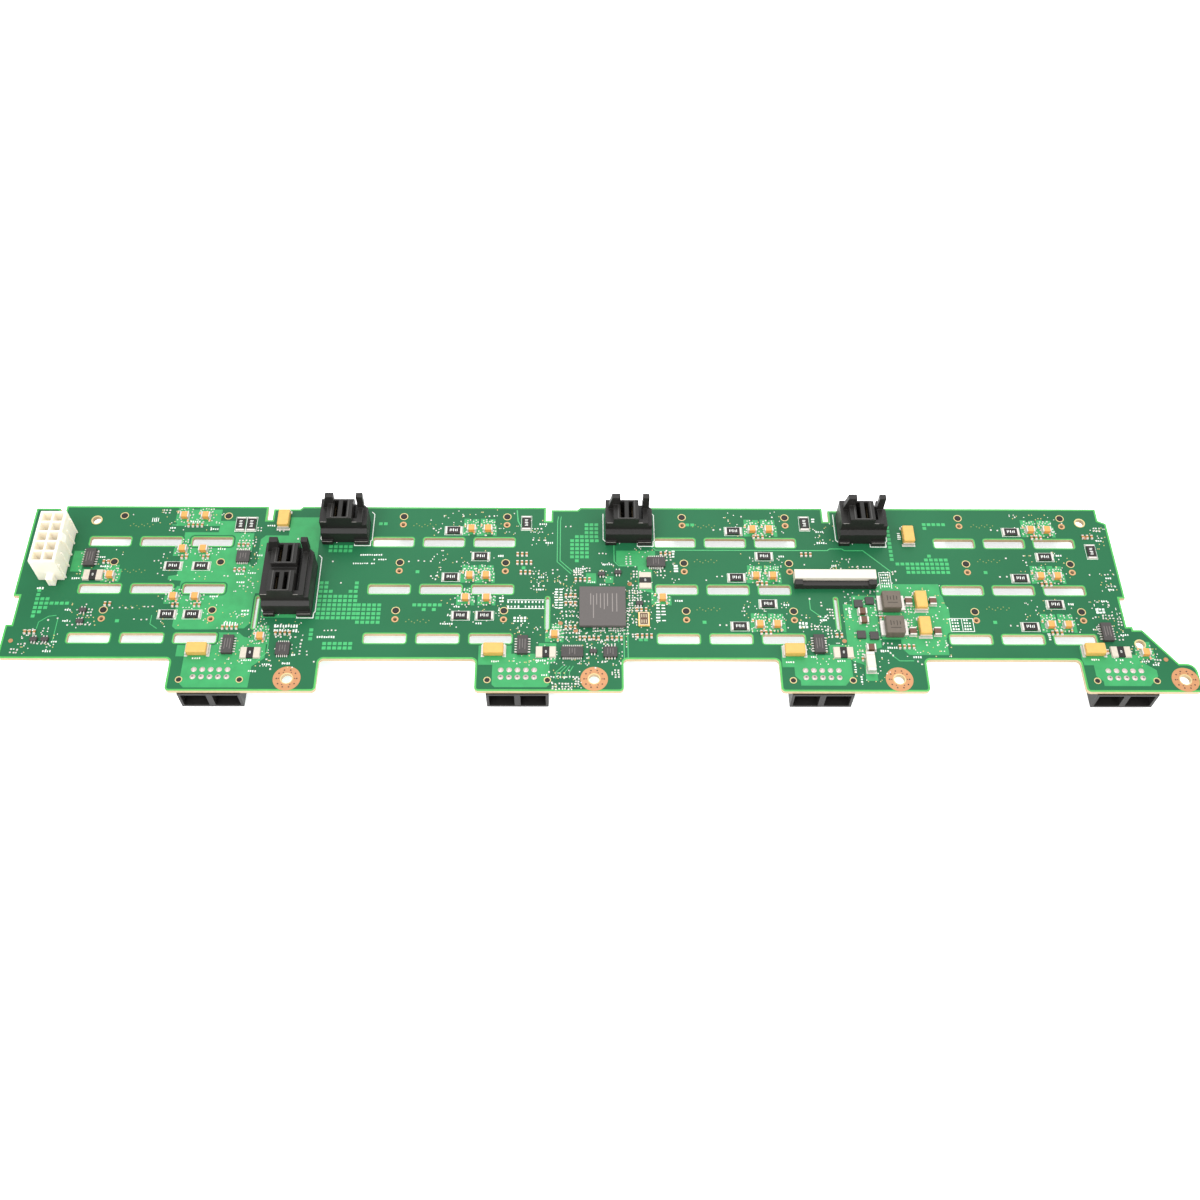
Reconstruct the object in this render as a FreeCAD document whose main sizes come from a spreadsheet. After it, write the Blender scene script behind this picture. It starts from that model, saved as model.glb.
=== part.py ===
"""Drive backplane board: a long circuit board that lies on the twelve drive
receptacles of its underside, with its cable connectors and power parts on top.

X runs along the board, Y runs from the four tabs to the far edge, Z is up.
The origin is the middle of the footprint, on the plane that the receptacles rest on.
All sizes are in millimetres.
"""
import FreeCAD, Part
import os
import re

import Sketcher

doc = FreeCAD.newDocument("drive_backplane_board")
sheet = doc.addObject("Spreadsheet::Sheet", "Sizes")

SIZES = [
    # the board and its outline
    ("board_length", 412.5, "left edge to right edge, without the ear"),
    ("board_depth", 68.1, "near edge between the tabs to the far edge"),
    ("board_thickness", 1.6, "laminate"),
    ("tab_depth", 13.2, "reach of a tab past the near edge"),
    ("tab_width", 53.3, "width of a tab"),
    ("last_tab_room", 22.1, "last tab's left side to the right edge"),
    ("tab_start", 61.9, "left edge of the board to the first tab"),
    ("tab_corner", 1.6, "rounding of the tabs' outer and inner corners"),
    ("ear_corner", 3.5, "radius of the ear's outer corner"),
    ("ear_reach", 19.6, "the last tab's ear past the right edge"),
    ("ear_rise", 26.0, "tab's end to the top of the ear's slant"),
    ("ear_height", 11.7, "tab's end to the foot of the slant"),
    ("ear_slant_start", 3.3, "right edge to the top of the slant"),
    ("ear_slant_end", 13.6, "right edge to the foot of the slant"),
    ("corner_cut", 2.9, "cut off the far right corner, along X"),
    ("corner_cut_depth", 7.0, "cut off the far right corner, along Y"),
    ("end_notch_depth", 2.2, "recess in both short ends"),
    ("end_notch_length", 12.5, "length of that recess"),
    ("end_notch_drop", 41.4, "far edge to the recess"),
    ("edge_notch_start", 65.4, "first slot of a column to its notch in the far edge"),
    ("edge_notch_width", 2.1, "narrow notches in the far edge"),
    ("edge_notch_depth", 6.4, "depth of those notches"),
    ("edge_step", 1.2, "lowered stretch of edge beside each notch"),
    ("edge_step_length", 10.0, "length of the lowered stretch"),
    ("corner_notch_start", 9.2, "left edge to the corner notch"),
    ("corner_notch_depth", 3.4, "depth of the corner notch"),
    # drive columns and rows
    ("column_start", 23.4, "left edge of the board to the first vent slot"),
    ("last_column_room", 68.1, "last column's first slot to the right edge"),
    ("row_start", 16.6, "far edge to the middle of the first row of slots"),
    ("last_row_room", 8.6, "middle of the last row of slots to the near edge"),
    ("measured_row_pitch", 21.45, "row pitch at which the small parts' places were measured"),
    ("slot_length", 15.3, "vent slot along X"),
    ("slot_width", 4.0, "vent slot along Y"),
    ("slot_pitch", 19.2, "slot to slot in a column"),
    ("slot_corner", 0.8, "rounding in the slots"),
    ("short_slot_length", 11.7, "the slot that makes room for the flat cable connector"),
    ("relief_start", 66.6, "first slot of a column to the milled relief slit"),
    ("relief_width", 1.2, "milled relief slit"),
    ("relief_corner", 0.55, "rounding in the slits' ends"),
    ("relief_length", 14.0, "milled relief slit"),
    ("relief_drop", 41.4, "far edge to the slit"),
    # holes
    ("cutter_margin", 1.0, "how far the cutters of the board's holes run past its faces"),
    ("square_diagonal", 1.42, "diagonal of a square pin over its side"),
    ("screw_hole", 3.8, "diameter of the four screw holes"),
    ("screw_inset", 5.0, "screw hole to the tab's end"),
    ("screw_offset", 42.7, "tab's left side to its screw hole"),
    ("last_screw_offset", 36.4, "the last tab's left side to its screw hole"),
    ("tooling_hole", 3.2, "diameter of the tooling holes"),
    ("tooling_start", 24.0, "left edge to the first tooling hole"),
    ("tooling_pitch", 378.3, "first to second tooling hole"),
    ("tooling_drop", 6.7, "far edge to the tooling holes"),
    ("ear_tooling", 1.2, "right edge to the ear's tooling hole"),
    ("ear_tooling_rise", 19.8, "tab's end to the ear's tooling hole"),
    ("pad_diameter", 9.9, "bare copper ring round a screw hole"),
    ("pad_bore", 4.5, "hole in that ring"),
    ("pad_thickness", 0.07, "copper"),
    # drive receptacles on the underside
    ("receptacle_length", 45.0, "along X"),
    ("receptacle_depth", 5.2, "along Y"),
    ("receptacle_height", 11.0, "below the board"),
    ("receptacle_shift", 12.5, "middle of the slots to the middle of the receptacle"),
    ("receptacle_base", 8.4, "base of a receptacle along Y, flush with its far side"),
    ("receptacle_base_height", 5.4, "base of a receptacle below the board"),
    ("receptacle_guide", 4.0, "guide at each end of a receptacle"),
    ("receptacle_guide_step", 1.2, "guides past the receptacle's face"),
    ("receptacle_slot", 2.4, "slot that takes the drive's tongue"),
    ("receptacle_slot_depth", 8.0, "depth of that slot"),
    ("peg_pitch", 39.75, "locating peg to locating peg"),
    ("peg_start", 10.8, "first slot's end to the first peg"),
    ("peg_drop", 0.5, "receptacle's middle to the pegs' line, towards the tabs"),
    ("peg_diameter", 2.2, "locating peg"),
    ("peg_proud", 0.3, "peg above the board"),
    ("peg_clearance", 0.15, "gap round a peg or a pin in its hole"),
    ("lined_hole", 1.5, "diameter of the lined hole beside each peg"),
    ("lined_hole_drop", 3.8, "peg to the lined hole"),
    ("contact_pitch", 1.27, "blade contacts in a receptacle"),
    ("contact_width", 0.6, "blade contact"),
    ("contact_thickness", 0.25, "blade contact"),
    ("contact_setback", 0.6, "receptacle's face to the contacts"),
    # power header, white
    ("header_start", 7.8, "left edge of the board to the header"),
    ("header_drop", 12.0, "far edge to the header"),
    ("header_width", 9.6, "across its two rows"),
    ("header_height", 12.4, "above the board"),
    ("header_cell_pitch", 4.4, "circuit to circuit"),
    ("header_row_pitch", 4.2, "row to row"),
    ("header_wall", 0.8, "walls between the circuits"),
    ("header_cell_depth", 9.6, "depth of a circuit's opening"),
    ("header_rib", 0.6, "ribs on its long side"),
    ("latch_height", 2.4, "latch ramp"),
    ("latch_reach", 1.3, "latch ramp"),
    ("latch_width", 3.2, "latch ramp"),
    ("latch_tip", 0.4, "latch ramp at the top"),
    ("ear_width", 2.6, "locating ear on the near side"),
    ("ear_top", 4.5, "locating ear above the board"),
    ("header_pin", 1.0, "square pin"),
    ("header_tail", 1.2, "pin below the board"),
    ("header_pin_height", 8.6, "pin above the board"),
    # data connectors, black
    ("data_width", 17.6, "housing along X"),
    ("data_depth", 12.8, "housing of one port along Y"),
    ("data_step", 6.6, "height of the low front shelf"),
    ("data_wall_height", 10.5, "housing's walls above the board"),
    ("data_side_wall", 3.0, "housing's left side to the port's block and its frame"),
    ("data_right_step", 1.6, "lowered strip along the right side"),
    ("data_right_height", 9.0, "height of that strip"),
    ("data_bevel", 3.2, "cut off the far right corner"),
    ("data_block_start", 4.8, "housing's left side to the port's block"),
    ("data_height", 13.0, "port's block above the board"),
    ("data_prong_height", 17.0, "guide prongs above the board"),
    ("data_block_width", 7.6, "port's block along X"),
    ("data_block_depth", 9.0, "port's block along Y"),
    ("data_slot_width", 1.5, "contact slot"),
    ("data_slot_inset", 0.7, "block's side to its slot"),
    ("data_slot_gap", 1.7, "between a port's two slots"),
    ("data_slot_depth", 7.0, "depth of the slots"),
    ("data_channel_depth", 3.4, "channel between the port's block and the right prong"),
    ("data_channel_wall", 2.0, "front shelf to that channel"),
    ("data_left_prong_start", 0.9, "housing's left side to the left guide prong"),
    ("data_left_prong_width", 4.6, "left guide prong along X, at its foot"),
    ("data_left_prong_slant", 1.5, "slant of its outer side"),
    ("data_prong_width", 2.5, "right guide prong along X"),
    ("data_prong_depth", 2.2, "guide prong along Y"),
    ("data_prong_gap", 1.5, "block to the right prong"),
    ("data_port_pitch", 12.1, "port to port in the double connector"),
    ("data_contact_pitch", 0.9, "contact to contact in a slot"),
    ("data_contact_setback", 3.0, "block's top to the contacts"),
    ("data_drop", 4.0, "far edge to the single connectors"),
    ("data_left_offset", 87.8, "first slot of its column to the left connector"),
    ("data_middle_offset", 88.2, "first slot of its column to the middle connector"),
    ("data_right_offset", 70.2, "first slot of its column to the right connector"),
    ("data_double_offset", 69.6, "first slot of its column to the double connector"),
    ("data_double_drop", 24.4, "far edge to the double connector"),
    ("data_shelf_depth", 1.8, "front shelf"),
    ("data_foot", 1.1, "feet past the housing's front"),
    ("data_foot_height", 1.9, "feet above the board"),
    ("data_left_foot", 4.2, "width of the left foot"),
    ("data_right_foot", 5.4, "width of the right foot"),
    # flat cable connector
    ("ribbon_length", 30.6, "housing along X"),
    ("ribbon_depth", 4.0, "housing along Y"),
    ("ribbon_height", 4.0, "above the board"),
    ("ribbon_offset", 51.6, "first slot of its column to the housing"),
    ("ribbon_rise", 2.8, "middle line of its row to the housing's front"),
    ("lock_depth", 2.2, "sliding lock bar along Y"),
    ("lock_height", 2.4, "sliding lock bar"),
    ("lock_clearance", 0.2, "gap round the lock"),
    ("lock_tongue", 2.4, "lock's tongue in the housing's mouth"),
    ("lock_tongue_height", 0.8, "lock's tongue"),
    ("mouth_depth", 3.0, "depth of the housing's mouth"),
    ("mouth_wall", 1.6, "housing's end walls beside the mouth"),
    ("lock_ear", 3.0, "lock's raised ear at each end"),
    ("lock_ear_height", 0.8, "lock's ears above its bar"),
    ("ribbon_contact_pitch", 1.0, "contact to contact"),
    ("ribbon_contact", 0.4, "contact"),
    ("ribbon_tail", 0.9, "contact's foot behind the housing"),
    # tab headers, black, under the tabs
    ("cable_header_length", 22.3, "shell along X"),
    ("cable_header_depth", 10.0, "shell along Y"),
    ("cable_header_height", 9.0, "shell below the board"),
    ("cable_header_reach", 0.5, "shell past the tab's end"),
    ("cable_header_wall", 1.0, "shell's walls"),
    ("cable_header_rib", 2.2, "rib between its two windows"),
    ("cable_window_depth", 5.6, "depth of the windows"),
    ("cable_blade_setback", 4.4, "shell's front to the ends of the pins"),
    ("cable_header_offset", 4.1, "tab's left side to the shell"),
    ("cable_pin_pitch", 3.0, "pin to pin"),
    ("cable_pin", 0.7, "pin"),
    ("cable_pin_inset", 5.7, "tab's end to the front row of pins"),
    ("cable_peg_pitch", 21.5, "shell's pegs"),
    ("cable_peg_inset", 4.5, "tab's end to the pegs"),
    ("cable_peg_diameter", 1.6, "shell's pegs"),
    ("solder_diameter", 2.1, "solder fillet round a pin"),
    ("solder_height", 0.5, "solder fillet"),
    # flat chips
    ("main_chip_size", 17.1, "controller chip, square"),
    ("main_chip_height", 1.5, "controller chip"),
    ("ball_height", 0.35, "solder balls under the controller chip"),
    ("ball_diameter", 0.6, "solder balls"),
    ("ball_pitch", 1.27, "ball to ball"),
    ("chip_offset", 86.9, "first slot of its column to the controller chip"),
    ("chip_drop", 8.3, "middle line of its row down to the chip"),
    ("crystal_offset", 102.1, "first slot of its column to the crystal"),
    ("crystal_rise", 8.2, "middle line of its row up to the crystal"),
    ("crystal_rim", 0.5, "base round the lid"),
    ("crystal_clearance", 0.45, "crystal to the small parts beyond it"),
    ("crystal_length", 6.2, "along Y"),
    ("crystal_width", 4.2, "along X"),
    ("crystal_base_height", 0.7, "ceramic base"),
    ("crystal_lid_height", 0.3, "metal lid"),
    ("inductor_size", 6.9, "inductor along X"),
    ("inductor_depth", 7.4, "inductor along Y"),
    ("inductor_height", 4.0, "inductor"),
    ("inductor_lead", 1.5, "its terminals past the body"),
    ("inductor_lead_width", 6.2, "its terminals along Y"),
    ("inductor_lead_height", 1.2, "its terminals"),
    ("tantalum_length", 7.3, "tantalum capacitor"),
    ("tantalum_width", 4.3, "tantalum capacitor"),
    ("tantalum_height", 2.9, "tantalum capacitor"),
    ("tantalum_foot", 0.5, "its terminals past the body"),
    ("resistor_length", 6.3, "power resistor"),
    ("resistor_width", 3.2, "power resistor"),
    ("resistor_height", 0.6, "power resistor"),
    ("resistor_end", 0.7, "its end caps"),
    ("ceramic_length", 3.3, "large ceramic capacitor"),
    ("ceramic_width", 2.5, "large ceramic capacitor"),
    ("ceramic_height", 1.9, "large ceramic capacitor"),
    ("ceramic_end", 0.5, "its end caps"),
    ("sense_length", 7.1, "current sensing strip"),
    ("sense_width", 4.4, "current sensing strip"),
    ("sense_height", 0.7, "current sensing strip"),
    ("sense_end", 2.3, "its end caps"),
    ("filter_length", 3.3, "brown filter capacitor"),
    ("filter_width", 2.5, "brown filter capacitor"),
    ("filter_height", 1.5, "brown filter capacitor"),
    ("filter_end", 0.6, "its end caps"),
    ("fuse_length", 7.8, "fuse along Y"),
    ("fuse_width", 3.1, "fuse along X"),
    ("fuse_height", 2.4, "fuse"),
    ("fuse_end", 1.3, "its end caps"),
    ("fuse_offset", 32.9, "tab's left side to the fuse"),
    ("fuse_inset", 11.4, "tab's end to the fuse's middle"),
    ("driver_length", 7.6, "fourteen lead chip along Y"),
    ("driver_width", 3.9, "fourteen lead chip along X"),
    ("driver_height", 1.5, "fourteen lead chip"),
    ("square_chip", 5.0, "square chip"),
    ("narrow_chip_length", 5.0, "eight lead chip along X"),
    ("middle_chip_length", 7.0, "sixteen lead chip along X"),
    ("wide_chip_length", 8.0, "twenty lead chip along X"),
    ("flat_chip_width", 4.2, "these three along Y"),
    ("logic_height", 1.1, "all four"),
    ("fine_lead", 0.32, "their leads"),
    ("fine_pitch", 0.72, "lead to lead on them"),
    ("lead_reach", 0.9, "leads past the body"),
    ("lead_width", 0.4, "lead"),
    ("lead_pitch", 1.1, "lead to lead"),
    ("lead_height", 0.5, "lead at the body"),
    ("switch_size", 3.2, "power transistor"),
    ("switch_height", 0.9, "power transistor"),
    ("transistor_length", 2.6, "small transistor"),
    ("transistor_width", 1.5, "small transistor"),
    ("transistor_height", 1.0, "small transistor"),
    ("tiny_length", 1.6, "smallest chip parts"),
    ("tiny_width", 0.8, "smallest chip parts"),
    ("tiny_height", 0.5, "smallest chip parts"),
    ("tiny_pitch", 1.7, "side by side"),
]
# Sizes that follow from the others: four columns, four tabs and three rows fill the board.
WORKED_OUT = [
    ("column_pitch", "=(board_length - column_start - last_column_room) / 3", "drive column to drive column"),
    ("tab_pitch", "=(board_length - tab_start - last_tab_room) / 3", "tab to tab"),
    ("row_pitch", "=(board_depth - row_start - last_row_room) / 2", "row to row"),
]
for number, (alias, value, meaning) in enumerate(SIZES + WORKED_OUT, start=1):
    sheet.set(f"A{number}", meaning)
    sheet.set(f"B{number}", str(value))
    sheet.setAlias(f"B{number}", alias)
doc.recompute()

NAMES = {alias for alias, _, _ in SIZES + WORKED_OUT}

COLUMNS = 4
ROWS = 3
SLOTS = 3
TABS = 4
HEADER_CIRCUITS = 5
SHORT_SLOT = (2, 1, 2)
TOLERANCE = 0.001
# Column and row of the two receptacles that have no lined holes beside their pegs.
WITHOUT_LINED_HOLES = ((0, 0), (0, 1))
CABLE_PINS = 5
CABLE_ROWS = 2

# Places of the frame: the board's left edge, its far edge and its upper face.
LEFT = "(0 - (board_length + ear_reach) / 2)"
FAR = "((board_depth + tab_depth + cable_header_reach) / 2)"
TOP = "(receptacle_height + board_thickness)"
HEADER_FRONT = f"({FAR} - header_drop - {HEADER_CIRCUITS} * header_cell_pitch - header_wall / 2)"

nodes = []


def named(text):
    """Write a formula of sheet names, such as board_depth / 2, the way an expression wants it."""
    return re.sub(r"[a-z_]+", lambda word: f"Sizes.{word[0]}" if word[0] in NAMES else word[0], text)


def size(text):
    """Work out a formula of sheet names."""
    return float(sheet.evalExpression(named(text)))


def bind(item, **formulas):
    """Tie properties of an object to formulas of sheet names."""
    for prop, text in formulas.items():
        item.setExpression(prop, named(text))


def place(item, x, y, z):
    """Tie the place of an object to formulas of sheet names."""
    for axis, text in zip("xyz", (x, y, z)):
        item.setExpression(f"Placement.Base.{axis}", named(text))
    return item


def node(item, name):
    """Name a finished sub-part and put it on the list of those that are written."""
    item.Label = name
    nodes.append(item)
    return item


def column_x(column, offset):
    """X of a place that lies this far from the first slot of its column."""
    return f"{LEFT} + column_start + {column} * column_pitch + {offset}"


def row_y(row, offset):
    """Y of a place that lies this far past the middle line of its row of slots."""
    return f"{FAR} - row_start - {row} * row_pitch + {offset}"


def part_y(row, offset):
    """Y of a small part: its measured offset keeps its share of the row pitch."""
    return row_y(row, f"{offset} * row_pitch / measured_row_pitch")


def tab_x(tab, offset):
    """X of a place that lies this far from the left side of its tab."""
    return f"{LEFT} + tab_start + {tab} * tab_pitch + {offset}"


def tab_y(offset):
    """Y of a place that lies this far inside the ends of the tabs."""
    return f"{FAR} - board_depth - tab_depth + {offset}"


def block(name, x, y, z, length, width, height):
    """Box with one corner at x, y, z."""
    box = doc.addObject("Part::Box", name)
    bind(box, Length=length, Width=width, Height=height)
    return place(box, x, y, z)


def centred(name, x, y, z, length, width, height):
    """Box that stands on z with the middle of its foot at x, y."""
    return block(name, f"{x} - ({length}) / 2", f"{y} - ({width}) / 2", z, length, width, height)


def rod(name, x, y, z, diameter, height):
    """Upright round rod that stands on z."""
    item = doc.addObject("Part::Cylinder", name)
    bind(item, Radius=f"({diameter}) / 2", Height=height)
    return place(item, x, y, z)


def group(name, items):
    """Separate like solids in one sub-part."""
    item = doc.addObject("Part::Compound", name)
    item.Links = items
    return node(item, name)


def fused(name, items):
    """Boxes and rods that make one solid."""
    item = doc.addObject("Part::MultiFuse", name)
    item.Shapes = items
    item.Refine = True
    return item


def cut(name, base, tool):
    """One solid with another taken away."""
    item = doc.addObject("Part::Cut", name)
    item.Base = base
    item.Tool = tool
    return item


def new_body(name, x, y, z):
    """Body whose own origin lies at x, y, z."""
    return place(doc.addObject("PartDesign::Body", name), x, y, z)


def origin_part(body, role):
    """Axis or plane of a body's own origin."""
    return next(part for part in body.Origin.OriginFeatures if part.Role == role)


def outline(body, name, points, role="XY_Plane"):
    """Sketch of a closed outline with straight sides, every corner tied to the sheet."""
    sketch = body.newObject("Sketcher::SketchObject", name)
    sketch.AttachmentSupport = [(origin_part(body, role), "")]
    sketch.MapMode = "FlatFace"
    corners = [FreeCAD.Vector(size(x), size(y), 0) for x, y in points]
    count = len(points)
    for number in range(count):
        sketch.addGeometry(Part.LineSegment(corners[number], corners[(number + 1) % count]))
    for number, (x, y) in enumerate(points):
        sketch.addConstraint(Sketcher.Constraint("Coincident", number, 2, (number + 1) % count, 1))
        for kind, text, value in (("DistanceX", x, corners[number].x), ("DistanceY", y, corners[number].y)):
            tie = sketch.addConstraint(Sketcher.Constraint(kind, -1, 1, number, 1, value))
            sketch.setExpression(f"Constraints[{tie}]", named(text))
    return sketch


def rectangle(body, name, x, y, length, width, role="XY_Plane"):
    """Sketch of a rectangle from its lower left corner."""
    far_x = f"{x} + {length}"
    far_y = f"{y} + {width}"
    return outline(body, name, [(x, y), (far_x, y), (far_x, far_y), (x, far_y)], role)


def pad(body, name, sketch, length):
    """Raise a sketch."""
    feature = body.newObject("PartDesign::Pad", name)
    feature.Profile = sketch
    bind(feature, Length=length)
    return feature


def through_cut(body, name, sketch):
    """Cut a sketch through the whole body, both ways."""
    feature = body.newObject("PartDesign::Pocket", name)
    feature.Profile = sketch
    feature.Type = "ThroughAll"
    feature.Midplane = True
    doc.recompute()
    return feature


def repeat(body, feature, steps):
    """Repeat a feature along the body's axes: axis, length of the whole row, copies."""
    pattern = body.newObject("PartDesign::MultiTransform", feature.Name + "_pattern")
    pattern.Originals = [feature]
    rows = []
    for axis, length, copies in steps:
        row = body.newObject("PartDesign::LinearPattern", f"{feature.Name}_along_{axis[0]}")
        row.Direction = (origin_part(body, axis), [""])
        bind(row, Length=length)
        row.Occurrences = copies
        rows.append(row)
    pattern.Transformations = rows
    body.Tip = pattern
    doc.recompute()


def board_outline():
    """Corners of the board from the lower left one, round its tabs, ear and notches."""
    near = "tab_depth"
    far = "tab_depth + board_depth"
    points = [("0", near)]
    for tab in range(TABS - 1):
        left = f"tab_start + {tab} * tab_pitch"
        right = f"{left} + tab_width"
        points += [(left, near), (left, "0"), (right, "0"), (right, near)]
    last = f"tab_start + {TABS - 1} * tab_pitch"
    ear = "board_length + ear_reach"
    points += [(last, near), (last, "0"), (ear, "0"), (ear, "ear_height")]
    points += [("board_length + ear_slant_end", "ear_height")]
    points += [("board_length + ear_slant_start", "ear_rise")]
    points += [("board_length", "ear_rise")]
    recess_top = f"{far} - end_notch_drop"
    recess_low = f"{recess_top} - end_notch_length"
    inner = "board_length - end_notch_depth"
    points += [("board_length", recess_low), (inner, recess_low), (inner, recess_top)]
    points += [("board_length", recess_top), ("board_length", f"{far} - corner_cut_depth")]
    points += [("board_length - corner_cut", f"{far} - corner_cut_depth + corner_cut / 2")]
    points += [("board_length - corner_cut", far)]
    for column in reversed(range(COLUMNS - 1)):
        left = f"column_start + {column} * column_pitch + edge_notch_start"
        right = f"{left} + edge_notch_width"
        low = f"{far} - edge_step"
        floor = f"{far} - edge_notch_depth"
        points += [(f"{right} + edge_step_length + edge_step", far), (f"{right} + edge_step_length", low)]
        points += [(right, low), (right, floor), (left, floor), (left, far)]
    notch_right = "corner_notch_start + edge_notch_width"
    notch_floor = f"{far} - corner_notch_depth"
    low = f"{far} - edge_step"
    points += [(notch_right, far), (notch_right, notch_floor), ("corner_notch_start", notch_floor)]
    points += [("corner_notch_start", low), ("0", low)]
    points += [("0", recess_top), ("end_notch_depth", recess_top)]
    points += [("end_notch_depth", recess_low), ("0", recess_low)]
    return points


def circuit_board():
    """One plate with tabs, notches, vent slots and the holes for what it carries."""
    body = new_body("board_plate", LEFT, tab_y("0"), "receptacle_height")
    plate = pad(body, "plate", outline(body, "plate_outline", board_outline()), "board_thickness")
    doc.recompute()
    corners = [0]
    for tab in range(TABS):
        left = size(f"tab_start + {tab} * tab_pitch")
        right = left + size("tab_width") if tab < TABS - 1 else size("board_length + ear_reach")
        corners += [left, right]
    edges = []
    for number, edge in enumerate(plate.Shape.Edges, start=1):
        middle = edge.CenterOfMass
        upright = abs(edge.BoundBox.ZLength - size("board_thickness")) < TOLERANCE
        on_near_edge = min(abs(middle.y), abs(middle.y - size("tab_depth"))) < TOLERANCE
        if upright and on_near_edge and min(abs(middle.x - x) for x in corners) < TOLERANCE:
            edges.append(f"Edge{number}")
    rounding = body.newObject("PartDesign::Fillet", "tab_rounding")
    rounding.Base = (plate, edges)
    bind(rounding, Radius="tab_corner")
    doc.recompute()
    ear_x = size("board_length + ear_reach")
    ear_y = size("ear_height")
    ear_edges = [
        f"Edge{number}" for number, edge in enumerate(rounding.Shape.Edges, start=1)
        if abs(edge.BoundBox.ZLength - size("board_thickness")) < TOLERANCE
        and abs(edge.CenterOfMass.x - ear_x) < TOLERANCE and abs(edge.CenterOfMass.y - ear_y) < TOLERANCE
    ]
    ear_rounding = body.newObject("PartDesign::Fillet", "ear_rounding")
    ear_rounding.Base = (rounding, ear_edges)
    bind(ear_rounding, Radius="ear_corner")
    doc.recompute()
    cutters = doc.addObject("Part::Compound", "board_cutters")
    cutters.Links = slot_cutters() + screw_and_tooling_cutters() + connector_hole_cutters()
    node(cut("board_with_holes", body, cutters), "circuit_board")


def bore(name, x, y, diameter):
    """Cutter for a round hole through the board."""
    height = "board_thickness + 2 * cutter_margin"
    return rod(name, x, y, "receptacle_height - cutter_margin", diameter, height)


def opening(name, x, y, length, width, radius):
    """Cutter for a slot with rounded corners through the board, from its lower left corner."""
    height = "board_thickness + 2 * cutter_margin"
    box = block(name + "_box", x, y, "receptacle_height - cutter_margin", length, width, height)
    doc.recompute([box])
    rounded = doc.addObject("Part::Fillet", name)
    rounded.Base = box
    upright = [
        number for number, edge in enumerate(box.Shape.Edges, start=1)
        if abs(edge.BoundBox.ZLength - edge.Length) < TOLERANCE
    ]
    rounded.Edges = [(number, size(radius), size(radius)) for number in upright]
    return rounded


def slot_cutters():
    """Vent slots, three to a column and row, one of them short, and the milled relief slits."""
    cutters = []
    for column in range(COLUMNS):
        for row in range(ROWS):
            for slot in range(SLOTS):
                short = (column, row, slot) == SHORT_SLOT
                length = "short_slot_length" if short else "slot_length"
                x = column_x(column, f"{slot} * slot_pitch")
                y = row_y(row, "0 - slot_width / 2")
                name = f"slot_{column}_{row}_{slot}"
                cutters.append(opening(name, x, y, length, "slot_width", "slot_corner"))
    for column in range(COLUMNS - 1):
        x = column_x(column, "relief_start - relief_width / 2")
        y = f"{FAR} - relief_drop - relief_length"
        cutters.append(opening(f"slit_{column}", x, y, "relief_width", "relief_length", "relief_corner"))
    return cutters


def screw_place(tab):
    """Middle of the screw hole in a tab."""
    offset = "last_screw_offset" if tab == TABS - 1 else "screw_offset"
    return tab_x(tab, offset), tab_y("screw_inset")


def screw_and_tooling_cutters():
    """Four screw holes and three tooling holes."""
    cutters = [bore(f"screw_hole_{tab}", *screw_place(tab), "screw_hole") for tab in range(TABS)]
    for number in range(2):
        x = f"{LEFT} + tooling_start + {number} * tooling_pitch"
        cutters.append(bore(f"tooling_hole_{number}", x, f"{FAR} - tooling_drop", "tooling_hole"))
    ear_x = f"{LEFT} + board_length + ear_tooling"
    cutters.append(bore("ear_hole", ear_x, tab_y("ear_tooling_rise"), "tooling_hole"))
    return cutters


def peg_places(column, row):
    """The two pegs of a drive receptacle."""
    middle = column_x(column, "peg_start + peg_pitch / 2")
    y = row_y(row, "receptacle_shift - peg_drop")
    return [(f"{middle} {sign} peg_pitch / 2", y) for sign in "-+"]


def header_pin_places():
    """The power header's pins."""
    x = f"{LEFT} + header_start + header_width / 2 - header_row_pitch / 2"
    y = f"{HEADER_FRONT} + header_wall / 2 + header_cell_pitch / 2"
    return [
        (f"{x} + {row} * header_row_pitch", f"{y} + {circuit} * header_cell_pitch")
        for row in range(2)
        for circuit in range(HEADER_CIRCUITS)
    ]


def cable_pin_x(tab, number):
    """X of one of a cable header's pins."""
    steps = number - (CABLE_PINS - 1) / 2
    return tab_x(tab, f"cable_header_offset + cable_header_length / 2 + {steps} * cable_pin_pitch")


def cable_pin_y(row):
    """Y of a row of a cable header's pins."""
    return tab_y(f"cable_pin_inset + {row} * cable_pin_pitch")


def cable_peg_places(tab):
    """The two pegs of a cable header."""
    middle = tab_x(tab, "cable_header_offset + cable_header_length / 2")
    return [(f"{middle} {sign} cable_peg_pitch / 2", tab_y("cable_peg_inset")) for sign in "-+"]


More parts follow.
